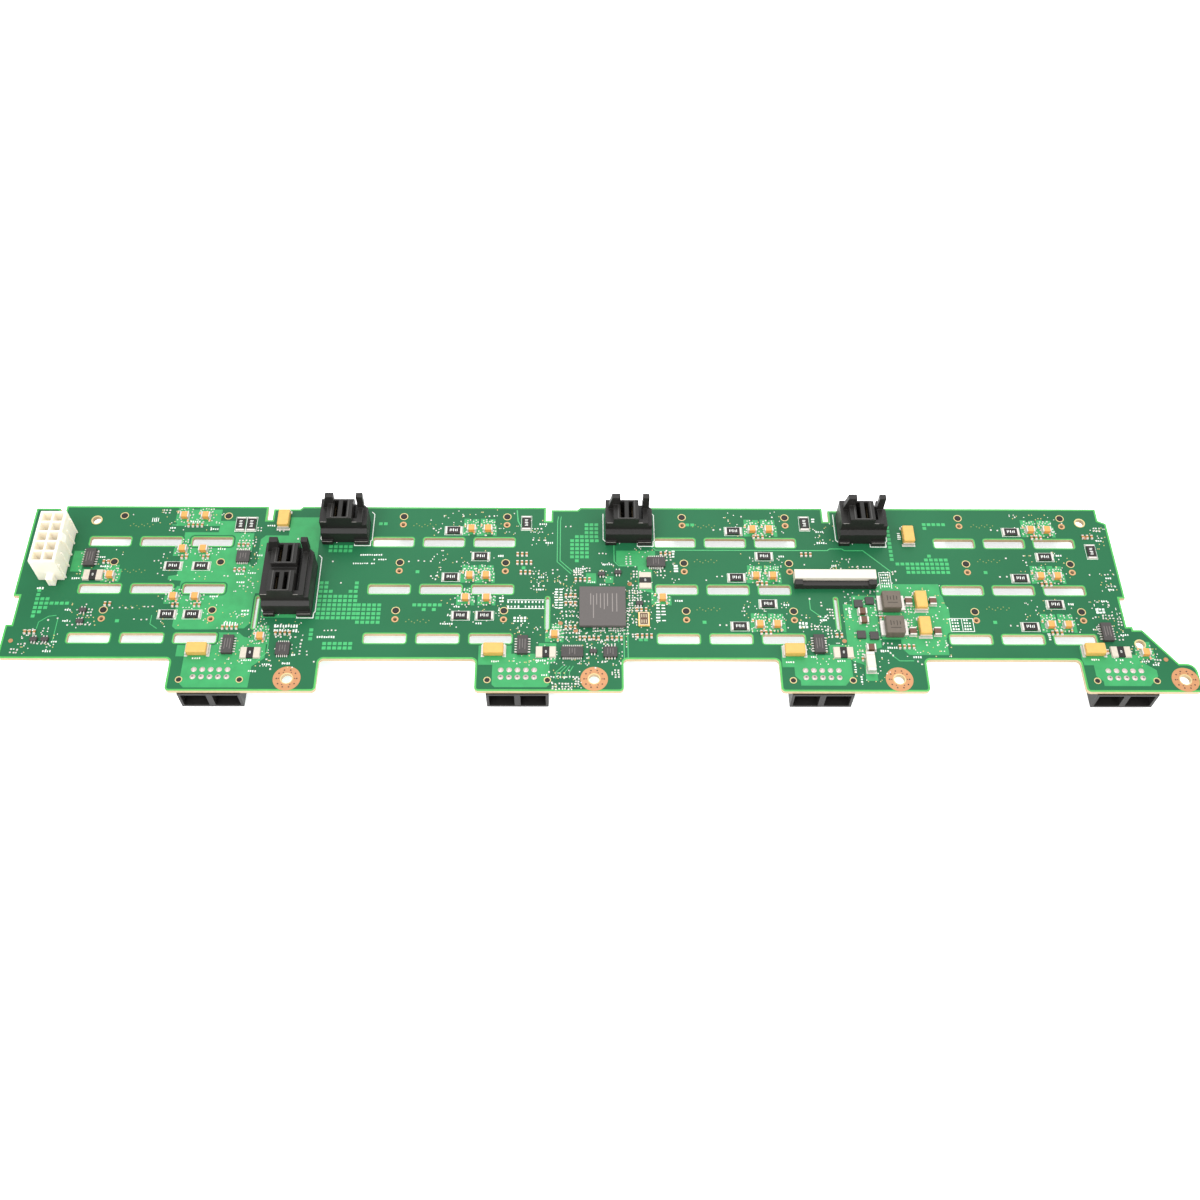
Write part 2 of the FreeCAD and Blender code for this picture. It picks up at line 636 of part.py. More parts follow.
def connector_hole_cutters():
    """Holes for the pegs and pins of what the board carries, and the lined holes by the pegs."""
    cutters = []
    for column in range(COLUMNS):
        for row in range(ROWS):
            for side, (x, y) in enumerate(peg_places(column, row)):
                tag = f"{column}_{row}_{side}"
                cutters.append(bore(f"peg_hole_{tag}", x, y, "peg_diameter + 2 * peg_clearance"))
                if (column, row) not in WITHOUT_LINED_HOLES:
                    cutters.append(bore(f"lined_hole_{tag}", x, f"{y} - lined_hole_drop", "lined_hole"))
    for number, (x, y) in enumerate(header_pin_places()):
        diameter = "header_pin * square_diagonal + 2 * peg_clearance"
        cutters.append(bore(f"header_hole_{number}", x, y, diameter))
    for tab in range(TABS):
        for number in range(CABLE_PINS):
            for row in range(CABLE_ROWS):
                diameter = "cable_pin * square_diagonal + 2 * peg_clearance"
                name = f"cable_hole_{tab}_{number}_{row}"
                cutters.append(bore(name, cable_pin_x(tab, number), cable_pin_y(row), diameter))
        for side, (x, y) in enumerate(cable_peg_places(tab)):
            diameter = "cable_peg_diameter + 2 * peg_clearance"
            cutters.append(bore(f"cable_peg_hole_{tab}_{side}", x, y, diameter))
    return cutters


def screw_pads():
    """Four bare copper rings round the screw holes."""
    rings = []
    for tab in range(TABS):
        x, y = screw_place(tab)
        disc = rod(f"pad_disc_{tab}", x, y, TOP, "pad_diameter", "pad_thickness")
        hole = rod(f"pad_hole_{tab}", x, y, TOP, "pad_bore", "pad_thickness")
        rings.append(cut(f"pad_{tab}", disc, hole))
    group("screw_pads", rings)


def drive_receptacles():
    """Twelve upright receptacles under the board, each with a wider base, two end guides and two pegs.

    They stand far enough from the vent slots to leave these open to the camera's eye.
    """
    blades = []
    for column in range(COLUMNS):
        for row in range(ROWS):
            tag = f"{'abcd'[column]}{row + 1}"
            x = column_x(column, "peg_start + peg_pitch / 2")
            y = row_y(row, "receptacle_shift")
            low = "receptacle_guide_step"
            core_height = f"receptacle_height - {low}"
            core = centred(f"core_{tag}", x, y, low, "receptacle_length", "receptacle_depth", core_height)
            base = centred(
                f"base_{tag}", x, f"{y} - (receptacle_base - receptacle_depth) / 2",
                "receptacle_height - receptacle_base_height", "receptacle_length", "receptacle_base",
                "receptacle_base_height",
            )
            parts = [core, base]
            for side, sign in enumerate("-+"):
                guide_x = f"{x} {sign} (receptacle_length - receptacle_guide) / 2"
                guide_size = ("receptacle_guide", "receptacle_depth", low)
                guide = centred(f"guide_{side}_{tag}", guide_x, y, "0", *guide_size)
                peg_height = "board_thickness + peg_proud"
                peg_place = peg_places(column, row)[side]
                peg = rod(f"peg_{side}_{tag}", *peg_place, "receptacle_height", "peg_diameter", peg_height)
                parts += [guide, peg]
            solid = fused(f"solid_{tag}", parts)
            slot = centred(
                f"slot_{tag}", x, y, low, "receptacle_length - 2 * receptacle_guide", "receptacle_slot",
                "receptacle_slot_depth",
            )
            node(cut(f"drive_receptacle_{tag}", solid, slot), f"drive_receptacle_{tag}")
            blades += contact_row(x, y)
    contacts = doc.addObject("Part::Feature", "receptacle_contacts")
    contacts.Shape = Part.makeCompound(blades)
    node(contacts, "receptacle_contacts")


def contact_row(x, y):
    """Blade contacts along the far wall of one receptacle's slot."""
    width = size("contact_width")
    pitch = size("contact_pitch")
    thickness = size("contact_thickness")
    room = size("receptacle_length - 2 * receptacle_guide") - width
    count = int(room / pitch) + 1
    start = size(x) - (count - 1) * pitch / 2 - width / 2
    back = size(f"{y} + receptacle_slot / 2") - thickness
    low = size("receptacle_guide_step + contact_setback")
    height = size("receptacle_slot_depth - contact_setback")
    return [
        Part.makeBox(width, thickness, height, FreeCAD.Vector(start + number * pitch, back, low))
        for number in range(count)
    ]


def power_header():
    """White two row header with a latch ramp, side ribs and a locating ear, and its pins."""
    length = f"({HEADER_CIRCUITS} * header_cell_pitch + header_wall)"
    body = new_body("power_header", f"{LEFT} + header_start", HEADER_FRONT, TOP)
    base = rectangle(body, "header_outline", "0", "0", "header_width", length)
    pad(body, "header_block", base, "header_height")
    cell = "header_row_pitch - header_wall"
    cell_x = f"header_width / 2 - header_row_pitch / 2 - ({cell}) / 2"
    cell_y = "header_cell_pitch - header_wall"
    mouth = flat_sketch(body, "cell_outline", cell_x, "header_wall", cell, cell_y, "header_height")
    pocket = body.newObject("PartDesign::Pocket", "cell")
    pocket.Profile = mouth
    bind(pocket, Length="header_cell_depth")
    doc.recompute()
    rows = [("X_Axis", "header_row_pitch", 2)]
    rows += [("Y_Axis", f"{HEADER_CIRCUITS - 1} * header_cell_pitch", HEADER_CIRCUITS)]
    repeat(body, pocket, rows)
    pin_x = "header_width / 2 - header_row_pitch / 2 - header_pin / 2"
    pin_y = "header_wall / 2 + header_cell_pitch / 2 - header_pin / 2"
    pin_hole = rectangle(body, "pin_outline", pin_x, pin_y, "header_pin", "header_pin")
    repeat(body, through_cut(body, "pin_opening", pin_hole), rows)
    middle = f"{length} / 2"
    ramp = outline(
        body, "latch_outline",
        [
            ("header_width", "header_height"),
            ("header_width", "header_height - latch_height"),
            ("header_width + latch_reach", "header_height - latch_height"),
            ("header_width + latch_tip", "header_height"),
        ],
        "XZ_Plane",
    )
    ramp.setExpression("AttachmentOffset.Base.z", named(f"0 - {middle} - latch_width / 2"))
    pad(body, "latch_ramp", ramp, "latch_width")
    rib = rectangle(body, "rib_outline", "header_width", "header_wall", "header_rib", "header_rib")
    ribs = pad(body, "side_rib", rib, "header_height - latch_height - latch_reach")
    doc.recompute()
    repeat(body, ribs, [("Y_Axis", f"{length} - 2 * header_wall - header_rib", HEADER_CIRCUITS)])
    ear_x = "header_width / 2 - ear_width / 2 + header_wall"
    ear = rectangle(body, "ear_outline", ear_x, "0 - ear_width", "ear_width", "ear_width")
    pad(body, "locating_ear", ear, "ear_top")
    doc.recompute()
    node(body, "power_header")
    pins = []
    low = "receptacle_height - header_tail"
    height = "header_tail + board_thickness + header_pin_height"
    for number, (x, y) in enumerate(header_pin_places()):
        post = centred(f"header_post_{number}", x, y, low, "header_pin", "header_pin", height)
        solder_z = "receptacle_height - solder_height"
        solder = rod(f"header_solder_{number}", x, y, solder_z, "solder_diameter", "solder_height")
        pins.append(fused(f"header_pin_{number}", [post, solder]))
    group("power_header_pins", pins)


def flat_sketch(body, name, x, y, length, width, z):
    """Rectangle at a height of its own."""
    sketch = rectangle(body, name, x, y, length, width)
    sketch.AttachmentOffset = FreeCAD.Placement(FreeCAD.Vector(0, 0, size(z)), FreeCAD.Rotation())
    sketch.setExpression("AttachmentOffset.Base.z", named(z))
    return sketch


def data_connector(name, x, y):
    """Black upright connector: shelved housing, slotted block for each port, two prongs, two feet."""
    ports = port_count(name)
    body = new_body(name, x, y, TOP)
    depth = f"(data_depth + {ports - 1} * data_port_pitch)"
    side = [
        ("0", "0"),
        (depth, "0"),
        (depth, "data_wall_height"),
        ("data_shelf_depth", "data_wall_height"),
        ("data_shelf_depth", "data_step"),
        ("0", "data_step - data_shelf_depth / 2"),
    ]
    pad(body, "housing", outline(body, "housing_side", side, "YZ_Plane"), "data_width")
    wall = "data_wall_height"
    right = "data_width - data_right_step"
    strip = rectangle(body, "right_strip", right, "data_right_height", "data_right_step", wall, "XZ_Plane")
    through_cut(body, "right_shelf", strip)
    bevel_end = ("data_width", f"{depth} - data_bevel")
    bevel = [("data_width - data_bevel", depth), bevel_end, ("data_width", depth)]
    through_cut(body, "corner_bevel", outline(body, "bevel_outline", bevel))
    channel_start = "data_shelf_depth + data_channel_wall"
    mouth = flat_sketch(
        body, "channel_outline", "data_block_start + data_block_width", channel_start, "data_prong_gap",
        f"{depth} - ({channel_start})", wall,
    )
    channel = body.newObject("PartDesign::Pocket", "channel")
    channel.Profile = mouth
    bind(channel, Length="data_channel_depth")
    doc.recompute()
    for port in range(ports):
        front = f"data_shelf_depth + {port} * data_port_pitch"
        start = "data_side_wall"
        length = "data_block_start + data_block_width - data_side_wall"
        base = flat_sketch(body, f"block_outline_{port}", start, front, length, "data_block_depth", wall)
        pad(body, f"block_{port}", base, "data_height - data_wall_height")
        right_inset = "data_slot_inset + data_slot_width + data_slot_gap"
        for slot, inset in enumerate(("data_slot_inset", right_inset)):
            mouth = flat_sketch(
                body, f"slot_outline_{port}_{slot}", f"data_block_start + {inset}",
                f"{front} + data_slot_inset", "data_slot_width", "data_block_depth - 2 * data_slot_inset",
                "data_height",
            )
            pocket = body.newObject("PartDesign::Pocket", f"slot_{port}_{slot}")
            pocket.Profile = mouth
            bind(pocket, Length="data_slot_depth")
            doc.recompute()
    back = f"data_shelf_depth + {ports - 1} * data_port_pitch + data_block_depth - data_prong_depth"
    for side_name, start, width in (
        ("left", "data_left_prong_start", "data_left_prong_width"),
        ("right", "data_block_start + data_block_width + data_prong_gap", "data_prong_width"),
    ):
        name_text = f"{side_name}_prong_outline"
        root = flat_sketch(body, name_text, start, back, width, "data_prong_depth", wall)
        pad(body, f"{side_name}_prong", root, "data_prong_height - data_wall_height")
    slant = [
        ("data_left_prong_start", wall),
        ("data_left_prong_start + data_left_prong_slant", "data_prong_height"),
        ("data_left_prong_start", "data_prong_height"),
    ]
    through_cut(body, "prong_slant", outline(body, "prong_slant_outline", slant, "XZ_Plane"))
    for side_name, start, width in (
        ("left", "0", "data_left_foot"),
        ("right", "data_width - data_right_foot", "data_right_foot"),
    ):
        foot = rectangle(body, f"{side_name}_foot_outline", start, "0 - data_foot", width, "data_foot")
        pad(body, f"{side_name}_foot", foot, "data_foot_height")
    doc.recompute()
    node(body, name)


def data_contacts():
    """Contact combs that line the slots of the data connectors."""
    blades = []
    width = size("contact_width")
    for name, (x, y) in DATA_CONNECTORS.items():
        for port in range(port_count(name)):
            front = size(f"{y} + data_shelf_depth + {port} * data_port_pitch + data_slot_inset")
            room = size("data_block_depth - 2 * data_slot_inset")
            pitch = size("data_contact_pitch")
            count = int((room - width) / pitch) + 1
            start = front + (room - (count - 1) * pitch - width) / 2
            floor = size(f"{TOP} + data_height - data_slot_depth")
            height = size("data_slot_depth - data_contact_setback")
            right = "data_slot_inset + 2 * data_slot_width + data_slot_gap - contact_thickness"
            for inset in ("data_slot_inset", right):
                left = size(f"{x} + data_block_start + {inset}")
                for number in range(count):
                    corner = FreeCAD.Vector(left, start + number * pitch, floor)
                    blades.append(Part.makeBox(size("contact_thickness"), width, height, corner))
    contacts = doc.addObject("Part::Feature", "data_contacts")
    contacts.Shape = Part.makeCompound(blades)
    node(contacts, "data_contacts")


DATA_CONNECTORS = {
    "data_connector_left": (column_x(0, "data_left_offset"), f"{FAR} - data_drop - data_depth"),
    "data_connector_middle": (column_x(1, "data_middle_offset"), f"{FAR} - data_drop - data_depth"),
    "data_connector_right": (column_x(2, "data_right_offset"), f"{FAR} - data_drop - data_depth"),
    "data_connector_double": (
        column_x(0, "data_double_offset"),
        f"{FAR} - data_double_drop - data_depth - data_port_pitch",
    ),
}


def port_count(name):
    """One port, or two in the double connector."""
    return 2 if name.endswith("double") else 1


def ribbon_connector():
    """Flat cable connector: white housing with a mouth, dark sliding lock and a comb of contacts."""
    x = column_x(2, "ribbon_offset")
    y = row_y(1, "ribbon_rise")
    housing = block("ribbon_block", x, y, TOP, "ribbon_length", "ribbon_depth", "ribbon_height")
    mouth_height = "lock_tongue_height + 2 * lock_clearance"
    mouth_z = f"{TOP} + lock_height / 2 - ({mouth_height}) / 2 + lock_clearance"
    mouth_length = "ribbon_length - 2 * mouth_wall"
    mouth = block("ribbon_mouth", f"{x} + mouth_wall", y, mouth_z, mouth_length, "mouth_depth", mouth_height)
    node(cut("ribbon_housing", housing, mouth), "ribbon_housing")
    bar_z = f"{TOP} + lock_clearance"
    bar_y = f"{y} - lock_clearance - lock_depth"
    bar = block("lock_bar", x, bar_y, bar_z, "ribbon_length", "lock_depth", "lock_height")
    tongue_length = f"{mouth_length} - 2 * lock_clearance"
    tongue = block(
        "lock_tongue_block", f"{x} + mouth_wall + lock_clearance", f"{y} - lock_clearance",
        f"{mouth_z} + lock_clearance", tongue_length, "lock_tongue", "lock_tongue_height",
    )
    ears = [
        block(
            f"lock_ear_{side}", f"{x} + {side} * (ribbon_length - lock_ear)", bar_y, f"{bar_z} + lock_height",
            "lock_ear", "lock_depth", "lock_ear_height",
        )
        for side in range(2)
    ]
    node(fused("ribbon_lock", [bar, tongue] + ears), "ribbon_lock")
    pitch = size("ribbon_contact_pitch")
    width = size("ribbon_contact")
    count = int((size(mouth_length) - width) / pitch)
    start = size(f"{x} + ribbon_length / 2") - (count - 1) * pitch / 2 - width / 2
    back = size(f"{y} + ribbon_depth")
    foot = (width, size("ribbon_tail"), size("lead_height"))
    tails = [
        Part.makeBox(*foot, FreeCAD.Vector(start + number * pitch, back, size(TOP)))
        for number in range(count)
    ]
    contacts = doc.addObject("Part::Feature", "ribbon_contacts")
    contacts.Shape = Part.makeCompound(tails)
    node(contacts, "ribbon_contacts")


def cable_header(tab):
    """Black shell under a tab with two windows, and ten angled pins soldered through the board."""
    shell_x = tab_x(tab, "cable_header_offset")
    shell_y = tab_y("0 - cable_header_reach")
    low = "receptacle_height - cable_header_height"
    shell_size = ("cable_header_length", "cable_header_depth", "cable_header_height")
    shell = block(f"shell_{tab}", shell_x, shell_y, low, *shell_size)
    window = "(cable_header_length - 2 * cable_header_wall - cable_header_rib) / 2"
    windows = [
        block(
            f"window_{tab}_{side}",
            f"{shell_x} + cable_header_wall + {side} * ({window} + cable_header_rib)",
            shell_y, f"{low} + cable_header_wall", window, "cable_window_depth",
            "cable_header_height - 2 * cable_header_wall",
        )
        for side in range(2)
    ]
    posts = []
    pins = []
    for number in range(CABLE_PINS):
        x = cable_pin_x(tab, number)
        for row in range(CABLE_ROWS):
            tag = f"{tab}_{number}_{row}"
            y = cable_pin_y(row)
            middle = "receptacle_height - cable_header_height / 2 - cable_pin / 2"
            bend = f"{middle} + {0.5 - row} * cable_pin_pitch"
            top = f"{TOP} + solder_height"
            parts = [centred(f"post_{tag}", x, y, bend, "cable_pin", "cable_pin", f"{top} - ({bend})")]
            if number != CABLE_PINS // 2:
                blade_y = f"{shell_y} + cable_blade_setback"
                blade_size = ("cable_pin", f"{y} - ({blade_y}) + cable_pin / 2", "cable_pin")
                parts.append(block(f"blade_{tag}", f"{x} - cable_pin / 2", blade_y, bend, *blade_size))
            posts.append(fused(f"angled_{tag}", parts) if len(parts) > 1 else parts[0])
            fillet = doc.addObject("Part::Cone", f"solder_{tag}")
            bind(fillet, Radius1="solder_diameter / 2", Radius2="cable_pin / 2", Height="solder_height")
            place(fillet, x, y, TOP)
            pins.append(fused(f"pin_{tag}", [posts[-1], fillet]))
    pegs = [
        rod(f"shell_peg_{tab}_{side}", x, y, "receptacle_height", "cable_peg_diameter", "board_thickness")
        for side, (x, y) in enumerate(cable_peg_places(tab))
    ]
    hollow = cut(f"hollow_shell_{tab}", shell, fused(f"carving_{tab}", windows + posts))
    node(fused(f"cable_header_{tab + 1}", [hollow] + pegs), f"cable_header_{tab + 1}")
    group(f"cable_header_pins_{tab + 1}", pins)


# Places of the small parts: column, row of vent slots, X from the column's first slot,
# Y from the row's middle line. The board's parts follow its columns and rows.
RESISTORS_FLAT = [
    (0, 1, 33.1, 10.1), (0, 1, 43.6, 10.1), (0, 2, 34.4, 10.1), (0, 2, 43.5, 10.1), (1, 0, 30.3, 5.4),
    (1, 0, 41.1, -6.6), (1, 1, 30.3, 5.4), (1, 2, 34.7, 9.8), (1, 2, 43.5, 9.8), (2, 0, 30.3, 5.4),
    (2, 0, 41.3, -6.3), (2, 1, 30.3, 5.4), (2, 1, 41.3, -6.3), (2, 2, 30.3, 5.4), (3, 0, 30.3, 5.4),
    (3, 0, 41.3, -6.3), (3, 1, 30.3, 5.4), (3, 1, 41.3, -6.3), (3, 2, 30.3, 5.4),
]
RESISTORS_UPRIGHT = [
    (0, 0, 55.8, 8.1), (0, 0, 59.9, 8.1), (1, 0, 58.0, 9.0), (2, 0, 57.9, 9.1), (3, 0, 59.6, -3.7),
]
CERAMICS = [
    (0, 0, 34.0, 11.7), (0, 0, 42.1, 11.7), (0, 0, 35.6, -3.9), (0, 0, 43.4, -3.9), (0, 1, 35.6, -3.9),
    (0, 1, 43.6, -3.9), (0, 1, 10.6, 5.6), (0, 2, 69.7, 0.4), (1, 0, 37.1, 5.9), (1, 0, 43.4, 5.9),
    (1, 1, 37.3, 5.8), (1, 1, 43.4, 5.8), (1, 1, 36.2, -4.2), (1, 1, 44.0, -4.2), (1, 2, 69.3, 1.4),
    (2, 1, 2.2, -4.0), (2, 0, 37.6, 5.9), (2, 0, 43.9, 5.9), (2, 1, 37.6, 5.9), (2, 1, 43.9, 5.9),
    (2, 2, 37.6, 5.9), (2, 2, 43.9, 5.9), (3, 0, 37.8, 6.0), (3, 0, 44.1, 6.0), (3, 1, 37.8, 6.0),
    (3, 1, 44.1, 6.0), (3, 2, 37.8, 5.9), (3, 2, 44.1, 5.9), (3, 2, 70.2, -5.9),
]
TANTALUMS_FLAT = [(0, 2, 47.9, -5.3), (1, 2, 47.4, -5.3), (2, 2, 49.4, -5.3), (3, 2, 51.6, -5.0)]
TANTALUMS_UPRIGHT = [(0, 0, 72.2, 9.8), (2, 0, 97.1, 3.0), (2, 1, 98.0, -5.4), (2, 2, 98.0, 4.8)]
SENSE_STRIPS = [
    (0, 1, 4.1, 5.9), (0, 2, 66.9, -6.3), (1, 2, 66.3, -5.8), (2, 2, 67.2, -5.8), (3, 2, 61.4, -5.4),
]
SENSE_STRIPS_UPRIGHT = [(1, 1, 103.0, 4.0)]
FILTERS_FLAT = [(2, 1, 75.9, -9.8), (2, 2, 76.1, 7.9), (2, 2, 77.4, -3.9)]
FILTERS_UPRIGHT = [(2, 1, 93.5, -5.3), (2, 1, 102.6, -5.3), (2, 2, 93.5, 2.9), (2, 2, 102.6, 2.9)]
INDUCTORS = [(2, 1, 86.7, -6.3), (2, 2, 86.7, 4.3)]
DRIVERS = [
    (0, 0, 1.7, -8.0), (0, 2, 58.5, -3.1), (1, 2, 57.8, -3.1), (2, 2, 58.6, -2.5), (3, 2, 57.9, 2.8),
]
SQUARE_CHIPS = [(0, 0, 58.8, -7.2), (0, 2, 78.4, -4.7)]
NARROW_CHIPS = [(1, 2, 89.6, -5.9)]
MIDDLE_CHIPS = [(1, 0, 107.2, -9.3)]
WIDE_CHIPS = [(1, 2, 75.8, -5.9)]
SWITCHES = [(2, 1, 74.8, -6.3), (2, 1, 79.1, -5.0), (2, 2, 74.5, 1.7), (2, 2, 79.1, 1.3)]
TRANSISTORS = [
    (1, 2, 83.4, -5.5), (1, 1, 92.8, 7.5), (1, 1, 86.7, 6.8), (1, 1, 100.6, -6.2), (0, 2, 3.5, 11.7),
    (0, 2, 3.3, 6.9), (0, 2, -11.7, -0.9), (0, 2, -7.7, -0.9),
]
# Rows of the smallest parts: column, row, X, Y, how many side by side.
TINY_ROWS = [
    (0, 0, 36.0, 7.6, 4), (0, 1, 35.8, 14.2, 2), (0, 1, 43.8, 14.2, 2), (0, 2, 35.8, 14.2, 2),
    (0, 2, 43.8, 14.2, 2), (0, 0, 56.4, -1.6, 3), (0, 0, 56.4, -13.0, 3), (0, 1, 7.0, 12.0, 2),
    (0, 2, 75.0, 2.2, 4), (0, 2, 55.4, 4.6, 4), (1, 0, 55.0, -5.6, 3), (1, 0, 55.0, -9.4, 4),
    (1, 1, 56.4, 7.6, 3), (1, 1, 77.0, 4.4, 4), (1, 1, 73.4, -2.8, 3), (1, 1, 73.4, -6.2, 3),
    (1, 2, 73.4, 4.8, 3), (1, 2, 78.6, 0.2, 5), (1, 2, 88.6, 0.2, 4),
    (1, 2, 99.6, 1.2, 4), (2, 0, 2.2, -5.2, 3), (2, 0, 38.0, 2.8, 3), (2, 1, 38.0, 2.8, 3),
    (2, 2, 38.0, 2.8, 3), (3, 0, 38.0, 2.8, 3), (3, 1, 38.0, 2.8, 3), (3, 2, 38.0, 2.8, 3),
    (2, 0, 55.6, -5.4, 3), (2, 2, 65.6, 1.6, 2), (2, 2, 82.4, 9.2, 2), (2, 2, 88.0, -3.2, 4),
    (2, 2, 73.9, -8.4, 1), (3, 0, 57.8, 3.2, 3), (3, 2, 56.6, -5.2, 1), (0, 2, 11.0, 14.6, 2),
    (0, 2, -15.6, 2.4, 3),
]


def two_ended(tag, part_list, length, width, height, end, foot="0"):
    """Flat chip parts with an end cap at both ends: their bodies and their ends."""
    bodies = []
    ends = []
    for number, (column, row, dx, dy, along_y) in enumerate(part_list):
        x = column_x(column, dx)
        y = part_y(row, dy)
        core = f"({length} - 2 * {end})" if foot == "0" else length
        cap = end if foot == "0" else foot
        cap_height = height if foot == "0" else f"{height} / 2"
        shift = f"({core} + {cap}) / 2"
        sizes = (width, core) if along_y else (core, width)
        bodies.append(centred(f"{tag}_{number}", x, y, TOP, *sizes, height))
        for sign in "+-":
            cap_sizes = (width, cap) if along_y else (cap, width)
            cap_x = x if along_y else f"{x} {sign} {shift}"
            cap_y = f"{y} {sign} {shift}" if along_y else y
            name = f"{tag}_end_{number}_{'right' if sign == '+' else 'left'}"
            ends.append(centred(name, cap_x, cap_y, TOP, *cap_sizes, cap_height))
    return bodies, ends


def placed(flat, upright=()):
    """Mark which of the like parts lie along X and which along Y."""
    return [(*spot, False) for spot in flat] + [(*spot, True) for spot in upright]


def chip_parts():
    """Resistors, capacitors and sensing strips, each kind one sub-part of bodies and one of ends."""
    kinds = (
        ("power_resistor", placed(RESISTORS_FLAT, RESISTORS_UPRIGHT), "resistor"),
        ("ceramic_capacitor", placed(CERAMICS), "ceramic"),
        ("sense_strip", placed(SENSE_STRIPS, SENSE_STRIPS_UPRIGHT), "sense"),
        ("filter_capacitor", placed(FILTERS_FLAT, FILTERS_UPRIGHT), "filter"),
    )
    for tag, spots, word in kinds:
        sizes = [f"{word}_{part}" for part in ("length", "width", "height", "end")]
        bodies, ends = two_ended(tag, spots, *sizes)
        group(f"{tag}s", bodies)
        group(f"{tag}_ends", ends)
    spots = placed(TANTALUMS_FLAT, TANTALUMS_UPRIGHT)
    bodies, ends = two_ended(
        "tantalum_capacitor", spots, "tantalum_length", "tantalum_width", "tantalum_height", "tantalum_foot",
        "tantalum_foot",
    )
    group("tantalum_capacitors", bodies)
    group("tantalum_capacitor_feet", ends)
    tiny = []
    for number, (column, row, dx, dy, count) in enumerate(TINY_ROWS):
        for step in range(count):
            spot = (column_x(column, f"{dx} + {step} * tiny_pitch"), part_y(row, dy), TOP)
            tiny.append(centred(f"tiny_{number}_{step}", *spot, "tiny_width", "tiny_length", "tiny_height"))
    beyond = "crystal_rise + (crystal_length + tiny_length) / 2 + crystal_clearance"
    for step in range(3):
        x = column_x(1, f"crystal_offset - (crystal_width + tiny_width) / 2 + {step} * tiny_pitch")
        spot = (x, row_y(2, beyond), TOP)
        tiny.append(centred(f"tiny_crystal_{step}", *spot, "tiny_width", "tiny_length", "tiny_height"))
    group("small_chip_parts", tiny)


def fuse():
    """Ceramic fuse with metal ends on the third tab."""
    x = tab_x(2, "fuse_offset")
    y = tab_y("fuse_inset")
    core = "(fuse_length - 2 * fuse_end)"
    node(centred("fuse_body", x, y, TOP, "fuse_width", core, "fuse_height"), "fuse_body")
    cap = ("fuse_width", "fuse_end", "fuse_height")
    caps = [
        centred(f"fuse_cap_{number}", x, f"{y} {sign} ({core} + fuse_end) / 2", TOP, *cap)
        for number, sign in enumerate("+-")
    ]
    group("fuse_ends", caps)


def leaded(tag, spots, length, width, height, count, sides, pitch="lead_pitch", lead_size="lead_width"):
    """Chips with a row of leads along two sides: their bodies and their leads."""
    bodies = []
    leads = []
    for number, (column, row, dx, dy) in enumerate(spots):
        x = column_x(column, dx)
        y = part_y(row, dy)
        bodies.append(centred(f"{tag}_{number}", x, y, TOP, width, length, height))
        for lead in range(count):
            along = f"{lead - (count - 1) / 2} * {pitch}"
            for sign in "+-":
                name = f"{tag}_lead_{number}_{lead}_{'far' if sign == '+' else 'near'}"
                if sides == "x":
                    spot = (f"{x} {sign} ({width} + lead_reach) / 2", f"{y} + {along}")
                    shape = ("lead_reach", lead_size)
                else:
                    spot = (f"{x} + {along}", f"{y} {sign} ({length} + lead_reach) / 2")
                    shape = (lead_size, "lead_reach")
                leads.append(centred(name, *spot, TOP, *shape, "lead_height"))
    return bodies, leads


